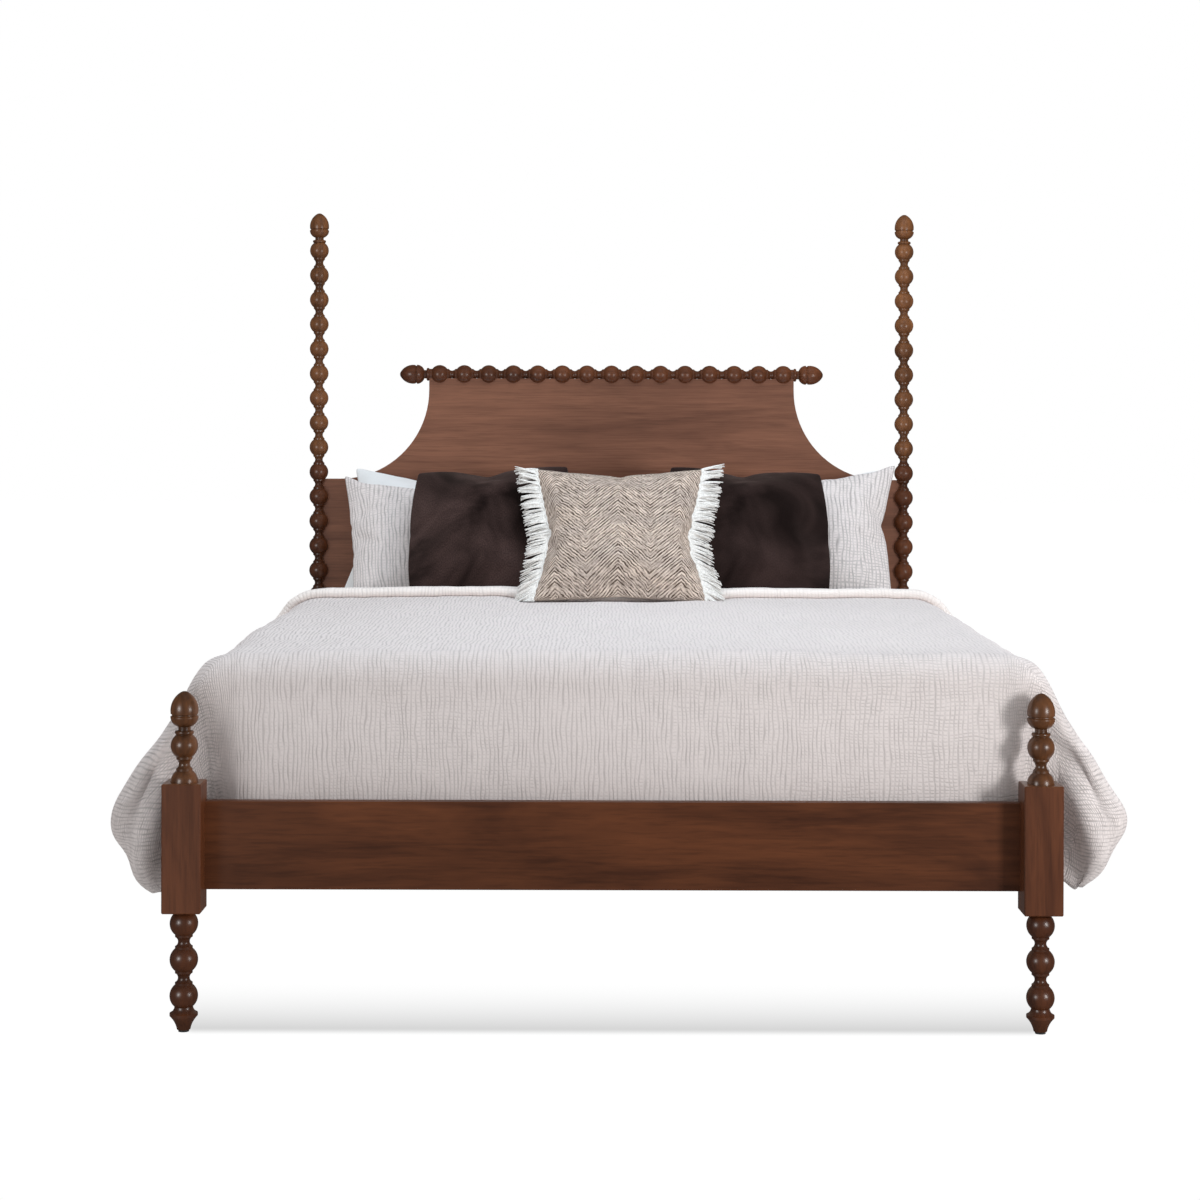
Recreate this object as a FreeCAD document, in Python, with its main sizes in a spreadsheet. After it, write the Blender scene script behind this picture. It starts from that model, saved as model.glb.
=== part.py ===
import FreeCAD, Part
import math
import os
import re
import Sketcher

from FreeCAD import Placement, Rotation, Vector

# A queen bed with bobbin-turned posts, its mattress and its bedding.
# X runs across the bed, +Y points to the head, +Z up; the origin is on the floor under the middle.
# All lengths are in millimetres and all angles in degrees.

SIZES = {
    # Mattress, foundation and the room left round them
    "mattress_width": 1524,
    "mattress_length": 2032,
    "mattress_height": 224,
    "mattress_corner_radius": 60,
    "mattress_edge_radius": 45,
    "foundation_height": 124,
    "foundation_inset": 6,
    "foundation_edge_radius": 12,
    "side_room": 25.5,
    "foot_room": 36,
    "head_room": 10,
    # Rails and the slats they carry
    "rail_thickness": 25,
    "rail_height": 165,
    "rail_lift": 38,
    "rail_inset": 2.5,
    "rail_edge_radius": 1.5,
    "tenon_thickness": 12,
    "tenon_length": 24,
    "tenon_shoulder": 20,
    "joint_clearance": 0.2,
    "ledger_width": 28,
    "ledger_height": 35,
    "ledger_lift": 8,
    "ledger_end_room": 20,
    "slat_width": 95,
    "slat_thickness": 20,
    "slat_end_room": 2,
    "slat_count": 5,
    # Square blocks of the posts
    "block_width": 73,
    "block_height": 241,
    "block_chamfer": 2,
    # Bobbin turning of posts, poles and crest rail
    "bobbin_pitch": 67.25,
    "ball_radius": 25.5,
    "collar_radius": 15.1,
    "collar_length": 4.2,
    "neck_radius": 10.3,
    "post_bobbins": 8,
    "pole_bobbins": 8,
    "ring_rise": 24.8,
    "ring_radius": 17.8,
    "ring_half_height": 3.8,
    # Acorn finial, measured up from the middle of its ring
    "finial_neck_radius": 11.5,
    "cup_base": 10.5,
    "cup_lip": 27.5,
    "cup_lip_height": 2.5,
    "cup_round": 21,
    "acorn_groove": 31.6,
    "acorn_groove_height": 2,
    "acorn_groove_radius": 23.4,
    "acorn_cap_base": 35,
    "acorn_widest": 41,
    "acorn_radius": 26,
    "acorn_side_round": 40,
    "acorn_tip": 77,
    # Turned legs and their glides
    "leg_height": 225,
    "leg_ball_radius": 26.4,
    "leg_collar_radius": 16.4,
    "leg_neck_radius": 10.9,
    "leg_shoulder_share": 0.1044,
    "leg_balls": 3,
    "foot_neck_radius": 17.2,
    "foot_lip_radius": 26.2,
    "foot_ball_share": 0.2964,
    "foot_lip_top_share": 0.1538,
    "foot_lip_bottom_share": 0.1316,
    "foot_lip_round": 14,
    "foot_taper_round": 48,
    "foot_base_radius": 12.5,
    "glide_radius": 10,
    "glide_thickness": 4,
    "glide_nail_radius": 1.2,
    "glide_nail_length": 14,
    # Headboard
    "panel_thickness": 22,
    "panel_setback": 4,
    "panel_shoulder_width": 57,
    "panel_shoulder_round": 244,
    "panel_shoulder_height": 985,
    "panel_neck_height": 32,
    "crest_ring_rise": 32,
    "crest_neck_gap": 0.4,
    "dowel_radius": 4,
    "dowel_length": 40,
    "dowel_count": 4,
    "stud_radius": 5,
    "stud_length": 90,
    # Hook plates and slotted plates of the side rails
    "plate_height": 130,
    "plate_width": 20,
    "plate_thickness": 2.5,
    "hook_thickness": 5,
    "hook_height": 20,
    "hook_lip": 8,
    "hook_depth": 4.5,
    "hook_spacing": 50,
    "hook_clearance": 0.4,
    # Countersunk wood screws
    "screw_radius": 2.2,
    "screw_head_radius": 4.4,
    "screw_head_height": 2.3,
    "plate_screw_length": 32,
    "plate_screw_inset": 10,
    "panel_screw_length": 40,
    "panel_screw_inset": 14,
    "panel_screw_bobbin_step": 2,
    "ledger_screw_length": 45,
    "ledger_screw_count": 7,
    "ledger_screw_inset": 60,
    "slat_screw_length": 33,
    # Duvet: laid over the mattress, tucked in at the foot, turned back at the head
    "duvet_thickness": 26,
    "duvet_gap": 0.6,
    "duvet_crown": 6,
    "duvet_flare": 184,
    "duvet_drop": 350,
    "duvet_hem_curl": 86,
    "duvet_hem_fall": 112,
    "duvet_tuck": 60,
    "duvet_rail_room": 18,
    "duvet_foot_round": 46,
    "turnback_width": 62,
    "turnback_thickness": 22,
    # Pillows and cushions, all leaning back alike
    "lean": 36,
    "pillow_gap": 0.5,
    "bedding_shift": 20,
    "headboard_gap": 0.5,
    "seam_thickness": 6,
    "sleeper_inset": 15,
    "sleeper_height": 418,
    "sleeper_thickness": 110,
    "sham_inset": 32,
    "sham_gap": 15,
    "sham_height": 430,
    "sham_thickness": 118,
    "velvet_width": 424,
    "velvet_height": 424,
    "velvet_thickness": 130,
    "velvet_inset": 70,
    "woven_width": 428,
    "woven_height": 398,
    "woven_thickness": 104,
    "fringe_length": 58,
    "fringe_thickness": 4,
}

# Places that follow from the sizes.
PLACES = {
    "post_x": "(mattress_width + rail_thickness) / 2 + side_room",
    "post_span": "block_width / 2 - rail_inset + foot_room + mattress_length + head_room - panel_setback",
    "back_reach": "panel_setback + panel_thickness / 2 + acorn_radius",
    "middle_y": "(block_width / 2 - back_reach) / 2",
    "foot_y": "middle_y - post_span / 2",
    "head_y": "middle_y + post_span / 2",
    "foot_rail_inner_y": "foot_y + block_width / 2 - rail_inset",
    "headboard_y": "head_y + panel_setback",
    "mattress_y": "foot_rail_inner_y + foot_room + mattress_length / 2",
    "block_top": "leg_height + block_height",
    "rail_bottom": "leg_height + rail_lift",
    "rail_top": "rail_bottom + rail_height",
    "rail_mid": "rail_bottom + rail_height / 2",
    "rail_half_length": "post_x - block_width / 2",
    "side_rail_length": "post_span - block_width",
    "rail_inner_x": "post_x - rail_thickness / 2",
    "ledger_x": "rail_inner_x - ledger_width / 2",
    "ledger_bottom": "rail_bottom + ledger_lift",
    "ledger_length": "side_rail_length - 2 * ledger_end_room",
    "slat_bottom": "ledger_bottom + ledger_height",
    "foundation_bottom": "slat_bottom + slat_thickness",
    "mattress_bottom": "foundation_bottom + foundation_height",
    "mattress_top": "mattress_bottom + mattress_height",
    "ball_rise": "sqrt(ball_radius ^ 2 - collar_radius ^ 2)",
    "cove_rise": "bobbin_pitch / 2 - ball_rise - collar_length",
    "cove_depth": "collar_radius - neck_radius",
    "cove_round": "(cove_rise ^ 2 + cove_depth ^ 2) / (2 * cove_depth)",
    "leg_ball_rise": "sqrt(leg_ball_radius ^ 2 - leg_collar_radius ^ 2)",
    "leg_shoulder": "leg_height * leg_shoulder_share",
    "foot_ball_height": "leg_height * foot_ball_share",
    "foot_lip_top": "leg_height * foot_lip_top_share",
    "foot_lip_bottom": "leg_height * foot_lip_bottom_share",
    "leg_pitch": "(leg_height - leg_shoulder - foot_ball_height) / (leg_balls - 1)",
    "leg_cove_rise": "leg_pitch / 2 - leg_ball_rise - collar_length",
    "leg_cove_depth": "leg_collar_radius - leg_neck_radius",
    "leg_cove_round": "(leg_cove_rise ^ 2 + leg_cove_depth ^ 2) / (2 * leg_cove_depth)",
    "foot_ball_rise": "sqrt(leg_ball_radius ^ 2 - foot_neck_radius ^ 2)",
    "post_joint": "block_top + (post_bobbins + 0.5) * bobbin_pitch",
    "ring_depth": "ring_radius - collar_radius",
    "ring_round": "(ring_half_height ^ 2 + ring_depth ^ 2) / (2 * ring_depth)",
    "acorn_height": "acorn_tip - acorn_widest",
    "tip_round": "(2 * acorn_side_round * acorn_radius - acorn_radius ^ 2 - acorn_height ^ 2)"
                 " / (2 * (acorn_side_round - acorn_height))",
    "side_centre": "acorn_side_round - acorn_radius",
    "tip_share": "acorn_side_round / (acorn_side_round - tip_round)",
    "tip_join_radius": "side_centre * tip_share - side_centre",
    "tip_join": "acorn_widest + (acorn_height - tip_round) * tip_share",
    "cap_base_radius": "sqrt(acorn_side_round ^ 2 - (acorn_widest - acorn_cap_base) ^ 2) - side_centre",
    "panel_y": "headboard_y + panel_thickness / 2",
    "panel_half_width": "post_x - stud_radius - joint_clearance",
    "panel_top_half_width": "post_x - panel_shoulder_width - panel_shoulder_round",
    "panel_top": "panel_shoulder_height + panel_shoulder_round + panel_neck_height",
    "crest_seat": "panel_top + joint_clearance",
    "crest_z": "crest_seat + crest_neck_gap + neck_radius",
    "crest_half_bobbins": "floor(panel_top_half_width / bobbin_pitch)",
    "dowel_bobbin_step": "2 * floor(crest_half_bobbins / (dowel_count - 1))",
    "hook_reach": "plate_thickness + hook_clearance + hook_depth",
    "hook_slot_height": "hook_height + hook_lip + hook_clearance",
    "plate_screw_rise": "plate_height / 2 - plate_screw_inset",
    "duvet_foot_y": "foot_y + block_width / 2 + duvet_gap",
    "duvet_top": "mattress_top + duvet_gap + duvet_thickness",
    "duvet_side_x": "mattress_width / 2 + duvet_gap + duvet_thickness",
    "duvet_edge_round": "mattress_edge_radius + duvet_gap + duvet_thickness",
    "seam_dip": "seam_thickness / 2 * sin(lean)",
    "pillow_seat": "mattress_top + pillow_gap + seam_dip",
    "sham_spacing": "mattress_width / 2 - sham_inset",
    "sham_width": "sham_spacing - sham_gap",
    "sleeper_width": "sham_width - sleeper_inset",
    "velvet_spacing": "sham_spacing - velvet_inset",
    "sleeper_y": "headboard_y - headboard_gap - sleeper_height * sin(lean) - seam_thickness / 2 * cos(lean)",
    "sham_y": "sleeper_y - ((sleeper_thickness + sham_thickness) / 2 + pillow_gap) / cos(lean)",
    "velvet_y": "sham_y - ((sham_thickness + velvet_thickness) / 2 + pillow_gap) / cos(lean)",
    "woven_seat": "duvet_top + duvet_crown + pillow_gap + seam_dip",
    "woven_y": "velvet_y - ((velvet_thickness + woven_thickness) / 2 + pillow_gap"
               " - (woven_seat - pillow_seat) * sin(lean)) / cos(lean)",
    "duvet_head_y": "velvet_y - seam_thickness",
    "turnback_y": "duvet_head_y - turnback_width",
}

# A cushion's thickness and its height at stations across its width, as shares of the full measures.
STATION_SHARES = (-1, -0.86, -0.55, 0, 0.55, 0.86, 1)
CROWN_SHARES = (0.12, 0.46, 0.86, 1, 0.86, 0.46, 0.12)
HEIGHT_SHARES = (1, 0.975, 0.945, 0.935, 0.945, 0.975, 1)
DRAW_IN_SHARE = 0.04
FRINGE_HEIGHT_SHARE = 0.94
# Folds of the duvet's hanging sides from foot to head: where they lie, how far they flare and drop.
FOLD_PLACE_SHARES = (0, 0.05, 0.18, 0.32, 0.46, 0.6, 0.74, 0.87, 1)
FOLD_FLARE_SHARES = (0.97, 1, 0.88, 0.97, 0.85, 0.94, 0.84, 0.92, 0.87)
FOLD_DROP_SHARES = (0.99, 1, 0.95, 0.98, 0.93, 0.96, 0.92, 0.95, 0.92)
SIDE_BOW_SHARE = -0.05
HEM_BOW_SHARE = 0.2
# The tucked foot end, from its front face to its back: how deep it lies in the duvet's thickness,
# and how much of its rounding is left there; its sides draw in by a share of that.
TUCK_DEPTH_SHARES = (0, 0.4, 1)
TUCK_ROUND_SHARES = (1, 0.4, 0)
TUCK_INSET_SHARE = 0.5
# The turned-back head end, from its front edge to the fold: where it lies and how far it stands up.
TURN_PLACE_SHARES = (0, 0.25, 0.7, 1)
TURN_RISE_SHARES = (0.75, 1, 1, 0.7)

SIDES = {"left": -1, "right": 1}
ENDS = {"foot": -1, "head": 1}
# Sketch geometry numbers of the sketch's own X line and Y line.
X_LINE = -1
Y_LINE = -2
# How closely an edge must run along a direction to be picked for rounding.
PARALLEL_SHARE = 1e-6

document = FreeCAD.newDocument("Bed")
sheet = document.addObject("Spreadsheet::Sheet", "Sizes")
kept = []


def fill_sheet():
    """Write the driving sizes to the sheet, one named cell each."""
    for row, (name, number) in enumerate(SIZES.items(), start=1):
        sheet.set("A%d" % row, name)
        sheet.set("B%d" % row, str(number))
        sheet.setAlias("B%d" % row, name)
    document.recompute()


def cells(expression):
    """An expression of sizes and places, written out in the sheet's own cells."""
    def cell(match):
        name = match.group()
        if name in PLACES:
            return "(" + cells(PLACES[name]) + ")"
        if name == "lean":
            return "(Sizes.lean * 1 deg)"
        return "Sizes." + name if name in SIZES else name
    return re.sub(r"[a-z]\w*", cell, str(expression))


def value(expression):
    """The number that an expression of sizes and places comes to."""
    return float(sheet.evalExpression(cells(expression)))


def bind(item, **properties):
    """Tie an object's properties to expressions."""
    for name, expression in properties.items():
        item.setExpression(name, cells(expression))
    return item


def place(item, x=0, y=0, z=0):
    """Tie an object's position to expressions."""
    for axis, expression in zip("xyz", (x, y, z)):
        item.setExpression("Placement.Base." + axis, cells(expression))
    return item


def keep(item, name):
    """Name a finished piece of the bed."""
    item.Label = name
    kept.append(item)
    return item


def block(name, x, y, z, length, width, height):
    """A box centred on x and y that stands on z."""
    box = document.addObject("Part::Box", name)
    bind(box, Length=length, Width=width, Height=height)
    return place(box, f"{x} - ({length}) / 2", f"{y} - ({width}) / 2", z)


def rod(name, x, y, z, radius, height):
    """An upright cylinder that stands on z."""
    cylinder = document.addObject("Part::Cylinder", name)
    bind(cylinder, Radius=radius, Height=height)
    return place(cylinder, x, y, z)


def group(name, items):
    """Several separate solids in one object."""
    compound = document.addObject("Part::Compound", name)
    compound.Links = list(items)
    return compound


def cut(base, *tools):
    """A piece with its mortises, recesses and bores cut out, one tool after another."""
    for tool in tools:
        result = document.addObject("Part::Cut", base.Name + "_cut")
        result.Base = base
        result.Tool = tool
        base = result
    return base


def plane(body, role):
    """One of a body's own origin planes or axes."""
    return next(feature for feature in body.Origin.OriginFeatures if feature.Role == role)


def arc_between(start, end, radius, turn):
    """The short arc from start to end that bends to the left (turn 1) or to the right (turn -1)."""
    chord = end - start
    reach = math.sqrt(max(radius ** 2 - (chord.Length / 2) ** 2, 0))
    across = Vector(-chord.y, chord.x, 0).normalize()
    centre = (start + end) / 2 + across * reach * turn
    first, last = (start, end) if turn > 0 else (end, start)
    angles = [math.atan2(point.y - centre.y, point.x - centre.x) for point in (first, last)]
    return Part.ArcOfCircle(Part.Circle(centre, Vector(0, 0, 1), radius), *angles)


def tie_corner(sketch, rule, axis, edge, point, expression):
    """Hold a corner on an axis, or at a bound distance from the sketch's origin."""
    if expression == "0":
        sketch.addConstraint(Sketcher.Constraint("PointOnObject", edge, point, axis))
    else:
        index = sketch.addConstraint(Sketcher.Constraint(rule, X_LINE, 1, edge, point, value(expression)))
        sketch.setExpression("Constraints[%d]" % index, cells(expression))


def draw_loop(sketch, corners):
    """Draw one closed loop. Each corner is (x, y), or (x, y, radius, turn) where an arc follows it."""
    points = [Vector(value(corner[0]), value(corner[1]), 0) for corner in corners]
    ends = []
    for number, corner in enumerate(corners):
        start, end = points[number], points[(number + 1) % len(points)]
        if len(corner) == 2:
            ends.append((sketch.addGeometry(Part.LineSegment(start, end)), 1, 2))
        else:
            edge = sketch.addGeometry(arc_between(start, end, value(corner[2]), corner[3]))
            ends.append((edge, 1, 2) if corner[3] > 0 else (edge, 2, 1))
    for number, corner in enumerate(corners):
        edge, first, last = ends[number]
        following, following_first, _ = ends[(number + 1) % len(corners)]
        sketch.addConstraint(Sketcher.Constraint("Coincident", edge, last, following, following_first))
        tie_corner(sketch, "DistanceX", Y_LINE, edge, first, corner[0])
        tie_corner(sketch, "DistanceY", X_LINE, edge, first, corner[1])
        if len(corner) == 4:
            index = sketch.addConstraint(Sketcher.Constraint("Radius", edge, value(corner[2])))
            sketch.setExpression("Constraints[%d]" % index, cells(corner[2]))


def draw_outline(body, name, role, *loops, lift=None):
    """A sketch of closed loops on one of a body's origin planes, or lifted off it."""
    sketch = body.newObject("Sketcher::SketchObject", name)
    sketch.AttachmentSupport = [(plane(body, role), "")]
    sketch.MapMode = "FlatFace"
    if lift:
        sketch.setExpression("AttachmentOffset.Base.z", cells(lift))
    for corners in loops:
        draw_loop(sketch, corners)
    return sketch


def turn_outline(body, name, corners):
    """Turn an outline about the body's upright axis."""
    feature = body.newObject("PartDesign::Revolution", name)
    feature.Profile = draw_outline(body, name + "_outline", "XZ_Plane", corners)
    feature.ReferenceAxis = (plane(body, "Z_Axis"), [""])
    feature.Angle = 360
    return feature


def pad_outline(body, name, role, length, *loops, lift=None, symmetric=False, reverse=False):
    """Pad an outline to one side of its plane, or to both sides alike."""
    feature = body.newObject("PartDesign::Pad", name)
    feature.Profile = draw_outline(body, name + "_outline", role, *loops, lift=lift)
    bind(feature, Length=length)
    feature.SideType = "Symmetric" if symmetric else "One side"
    feature.Reversed = reverse
    return feature


def rectangle(half_width, bottom, top):
    """The corners of a rectangle about the sketch's Y line."""
    return [(f"-({half_width})", bottom), (half_width, bottom), (half_width, top), (f"-({half_width})", top)]


def runs_along(edge, direction):
    """Whether an edge is straight and parallel to a direction."""
    if edge.Curve.TypeId != "Part::GeomLine":
        return False
    return edge.tangentAt(edge.FirstParameter).cross(direction).Length < PARALLEL_SHARE


def ease_edges(body, base, kind, size, chosen):
    """Fillet or chamfer the edges of a feature that a test picks."""
    document.recompute()
    names = ["Edge%d" % number for number, edge in enumerate(base.Shape.Edges, start=1) if chosen(edge)]
    feature = body.newObject("PartDesign::" + kind, base.Name + "_eased")
    feature.Base = (base, names)
    feature.setExpression("Radius" if kind == "Fillet" else "Size", cells(size))
    return feature


def bobbin_below(z):
    """Lower half of a bobbin centred at z: half cove, collar and the start of its ball."""
    return [
        ("neck_radius", f"{z} - bobbin_pitch / 2", "cove_round", -1),
        ("collar_radius", f"{z} - ball_rise - collar_length"),
        ("collar_radius", f"{z} - ball_rise", "ball_radius", 1),
    ]


def bobbin_above(z):
    """Upper half of a bobbin centred at z: the end of its ball, collar and half cove."""
    return [
        ("collar_radius", f"{z} + ball_rise"),
        ("collar_radius", f"{z} + ball_rise + collar_length", "cove_round", -1),
        ("neck_radius", f"{z} + bobbin_pitch / 2"),
    ]


def acorn(z, rise):
    """Ring, neck, cup and cap of a finial whose ring is a given rise above the bobbin at z."""
    ring = f"{z} + {rise}"
    return [
        ("collar_radius", f"{z} + ball_rise"),
        ("collar_radius", f"{ring} - ring_half_height", "ring_round", 1),
        ("collar_radius", f"{ring} + ring_half_height"),
        ("finial_neck_radius", f"{ring} + ring_half_height"),
        ("finial_neck_radius", f"{ring} + cup_base", "cup_round", 1),
        ("acorn_radius", f"{ring} + cup_lip"),
        ("acorn_radius", f"{ring} + cup_lip + cup_lip_height"),
        ("acorn_groove_radius", f"{ring} + acorn_groove"),
        ("acorn_groove_radius", f"{ring} + acorn_groove + acorn_groove_height"),
        ("cap_base_radius", f"{ring} + acorn_cap_base", "acorn_side_round", 1),
        ("tip_join_radius", f"{ring} + tip_join", "tip_round", 1),
        ("0", f"{ring} + acorn_tip"),
    ]


def turned_leg():
    """Outline of a leg: tapered foot, balls with coves between them, collar under the block."""
    balls = int(value("leg_balls"))
    heights = [f"(foot_ball_height + {number} * leg_pitch)" for number in range(balls)]
    corners = [
        ("0", "glide_thickness"),
        ("foot_base_radius", "glide_thickness", "foot_taper_round", -1),
        ("foot_lip_radius", "foot_lip_bottom"),
        ("foot_lip_radius", "foot_lip_top", "foot_lip_round", -1),
        ("foot_neck_radius", f"{heights[0]} - foot_ball_rise", "leg_ball_radius", 1),
    ]
    for z, above in zip(heights, heights[1:]):
        corners += [
            ("leg_collar_radius", f"{z} + leg_ball_rise"),
            ("leg_collar_radius", f"{z} + leg_ball_rise + collar_length", "leg_cove_round", -1),
            ("leg_neck_radius", f"{z} + leg_pitch / 2", "leg_cove_round", -1),
            ("leg_collar_radius", f"{above} - leg_ball_rise - collar_length"),
            ("leg_collar_radius", f"{above} - leg_ball_rise", "leg_ball_radius", 1),
        ]
    return corners + [
        ("leg_collar_radius", f"{heights[-1]} + leg_ball_rise"),
        ("leg_collar_radius", "leg_height"),
        ("0", "leg_height"),
    ]


def bobbin_run(body, name, first, count):
    """A run of bobbins one pitch apart, the first centred at a given height."""
    bobbin = turn_outline(body, name + "_bobbin", [("0", f"{first} - bobbin_pitch / 2")]
                          + bobbin_below(first) + bobbin_above(first)
                          + [("0", f"{first} + bobbin_pitch / 2")])
    run = body.newObject("PartDesign::LinearPattern", name + "_run")
    run.Originals = [bobbin]
    run.Direction = (plane(body, "Z_Axis"), [""])
    run.Mode = "Spacing"
    bind(run, Offset="bobbin_pitch", Occurrences=count)
    body.Tip = run


def turned_post(name):
    """Square block on its turned leg, which head and foot posts share."""
    body = document.addObject("PartDesign::Body", name)
    half = "block_width / 2"
    square = pad_outline(body, name + "_block", "XY_Plane", "block_height",
                         rectangle(half, f"-{half}", half), lift="leg_height")
    ease_edges(body, square, "Chamfer", "block_chamfer", lambda edge: True)
    turn_outline(body, name + "_leg", turned_leg())
    return body


def foot_post(name, side):
    """Foot post with a half bobbin on its block, one whole bobbin and an acorn."""
    body = turned_post(name)
    ball = "block_top + bobbin_pitch"
    turn_outline(body, name + "_finial", [("0", "block_top"), ("ball_radius", "block_top", "ball_radius", 1)]
                 + bobbin_above("block_top")[:2] + bobbin_below(ball) + acorn(ball, "ring_rise"))
    return place(body, f"{side} * post_x", "foot_y")


def head_post(name, side):
    """Head post with a half bobbin on its block and a run of bobbins up to the joint with its pole."""
    body = turned_post(name)
    turn_outline(body, name + "_half_bobbin", [
        ("0", "block_top"),
        ("ball_radius", "block_top", "ball_radius", 1),
    ] + bobbin_above("block_top") + [("0", "block_top + bobbin_pitch / 2")])
    bobbin_run(body, name, "block_top + bobbin_pitch", "post_bobbins")
    return place(body, f"{side} * post_x", "head_y")


def head_pole(name, side):
    """Upper length of a head post: a run of bobbins, then the last one with the acorn on it."""
    body = document.addObject("PartDesign::Body", name)
    top = "(pole_bobbins + 0.5) * bobbin_pitch"
    turn_outline(body, name + "_finial", [("0", f"{top} - bobbin_pitch / 2")]
                 + bobbin_below(top) + acorn(top, "ring_rise"))
    bobbin_run(body, name, "bobbin_pitch / 2", "pole_bobbins")
    return place(body, f"{side} * post_x", "head_y", "post_joint")


def crest_rail():
    """Turned rail along the headboard's top, with an acorn at each end and a groove for the panel."""
    body = document.addObject("PartDesign::Body", "crest")
    end = "crest_half_bobbins * bobbin_pitch"
    bobbin_run(body, "crest", "(1 - crest_half_bobbins) * bobbin_pitch", "2 * crest_half_bobbins - 1")
    finial = turn_outline(body, "crest_finial", [("0", f"{end} - bobbin_pitch / 2")]
                          + bobbin_below(end) + acorn(end, "crest_ring_rise"))
    mirror = body.newObject("PartDesign::Mirrored", "crest_finials")
    mirror.Originals = [finial]
    mirror.MirrorPlane = (plane(body, "XY_Plane"), [""])
    body.Tip = mirror
    body.Placement = Placement(Vector(), Rotation(Vector(0, 1, 0), 90))
    place(body, 0, "panel_y", "crest_z")
    groove = block("crest_groove", 0, "panel_y", "panel_top - ball_radius",
                   "2 * (panel_top_half_width + joint_clearance)", "panel_thickness + 2 * joint_clearance",
                   "crest_seat - panel_top + ball_radius")
    return cut(body, groove)


def headboard_panel():
    """Panel with concave shoulders, notched to stand between the blocks and on the lower rail."""
    lower = "rail_half_length - joint_clearance"
    seat = "block_top + joint_clearance"
    right = [
        (lower, "rail_top"),
        (lower, seat),
        ("panel_half_width", seat),
        ("panel_half_width", "panel_shoulder_height"),
        ("panel_top_half_width + panel_shoulder_round", "panel_shoulder_height", "panel_shoulder_round", -1),
        ("panel_top_half_width", "panel_top - panel_neck_height"),
        ("panel_top_half_width", "panel_top"),
    ]
    left = [(f"-({corner[0]})", corner[1]) for corner in reversed(right)]
    shoulder_foot = left[1]
    left[1] = shoulder_foot + ("panel_shoulder_round", -1)
    body = document.addObject("PartDesign::Body", "panel")
    pad_outline(body, "panel_board", "XZ_Plane", "panel_thickness", right + left, symmetric=True)
    return place(body, 0, "panel_y")


def cross_rail(name, y):
    """Rail between two posts, with a tenon at each end."""
    body = document.addObject("PartDesign::Body", name)
    board = pad_outline(body, name + "_board", "XZ_Plane", "rail_thickness",
                        rectangle("rail_half_length", "rail_bottom", "rail_top"), symmetric=True)
    ease_edges(body, board, "Fillet", "rail_edge_radius", lambda edge: runs_along(edge, Vector(1, 0, 0)))
    pad_outline(body, name + "_tenons", "XZ_Plane", "tenon_thickness",
                rectangle("rail_half_length + tenon_length", "rail_bottom + tenon_shoulder",
                          "rail_top - tenon_shoulder"), symmetric=True)
    return place(body, 0, y)


def tenon_mortise(name, side, y):
    """Room in a post for a cross rail's tenon."""
    return block(name, f"{side} * rail_half_length", y, "rail_bottom + tenon_shoulder - joint_clearance",
                 "2 * (tenon_length + joint_clearance)", "tenon_thickness + 2 * joint_clearance",
                 "rail_height - 2 * tenon_shoulder + 2 * joint_clearance")


def panel_rebate(name, side):
    """Room in a head post's turning for the edge of the headboard panel."""
    return block(name, f"{side} * (post_x - stud_radius - block_width / 4)",
                 "headboard_y - joint_clearance + block_width / 4", "block_top", "block_width / 2",
                 "block_width / 2", "panel_shoulder_height + joint_clearance - block_top")


def side_rail(name, side):
    """Rail from foot post to head post."""
    body = document.addObject("PartDesign::Body", name)
    board = pad_outline(body, name + "_board", "XZ_Plane", "side_rail_length",
                        rectangle("rail_thickness / 2", "rail_bottom", "rail_top"), symmetric=True)
    ease_edges(body, board, "Fillet", "rail_edge_radius", lambda edge: runs_along(edge, Vector(0, 1, 0)))
    return place(body, f"{side} * post_x", "middle_y")


def joint_y(end):
    """Where a side rail meets a post."""
    return f"(middle_y + {end} * (post_span - block_width) / 2)"


def at_joint(item, side, end):
    """Put a plate at a rail's joint, turned to face its post."""
    item.Placement = Placement(Vector(), Rotation(Vector(0, 0, 1), 0 if end < 0 else 180))
    return place(item, f"{side} * post_x", joint_y(end))


def hook_bottoms():
    """Heights of the undersides of a plate's two hooks."""
    return [f"(rail_mid + {sign} * hook_spacing / 2 - hook_height / 2)" for sign in (-1, 1)]


def hook_plate(name, side, end):
    """Plate let into a side rail's end, with two hooks that drop behind the slotted plate."""
    body = document.addObject("PartDesign::Body", name)
    pad_outline(body, name + "_plate", "XZ_Plane", "plate_thickness",
                rectangle("plate_width / 2", "rail_mid - plate_height / 2", "rail_mid + plate_height / 2"),
                reverse=True)
    for number, z in enumerate(hook_bottoms(), start=1):
        lip = "-(plate_thickness + hook_clearance)"
        pad_outline(body, "%s_hook_%d" % (name, number), "YZ_Plane", "hook_thickness", [
            ("0", z),
            ("0", f"{z} + hook_height"),
            ("-(hook_reach)", f"{z} + hook_height"),
            ("-(hook_reach)", f"{z} - hook_lip"),
            (lip, f"{z} - hook_lip"),
            (lip, z),
        ], symmetric=True)
    return at_joint(body, side, end)


def slot_plate(name, side, end):
    """Plate let into a post, with two slots for the hooks."""
    body = document.addObject("PartDesign::Body", name)
    slots = [rectangle("hook_thickness / 2 + hook_clearance", z, f"{z} + hook_slot_height")
             for z in hook_bottoms()]
    pad_outline(body, name + "_plate", "XZ_Plane", "plate_thickness",
                rectangle("plate_width / 2", "rail_mid - plate_height / 2", "rail_mid + plate_height / 2"),
                *slots)
    return at_joint(body, side, end)


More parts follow.
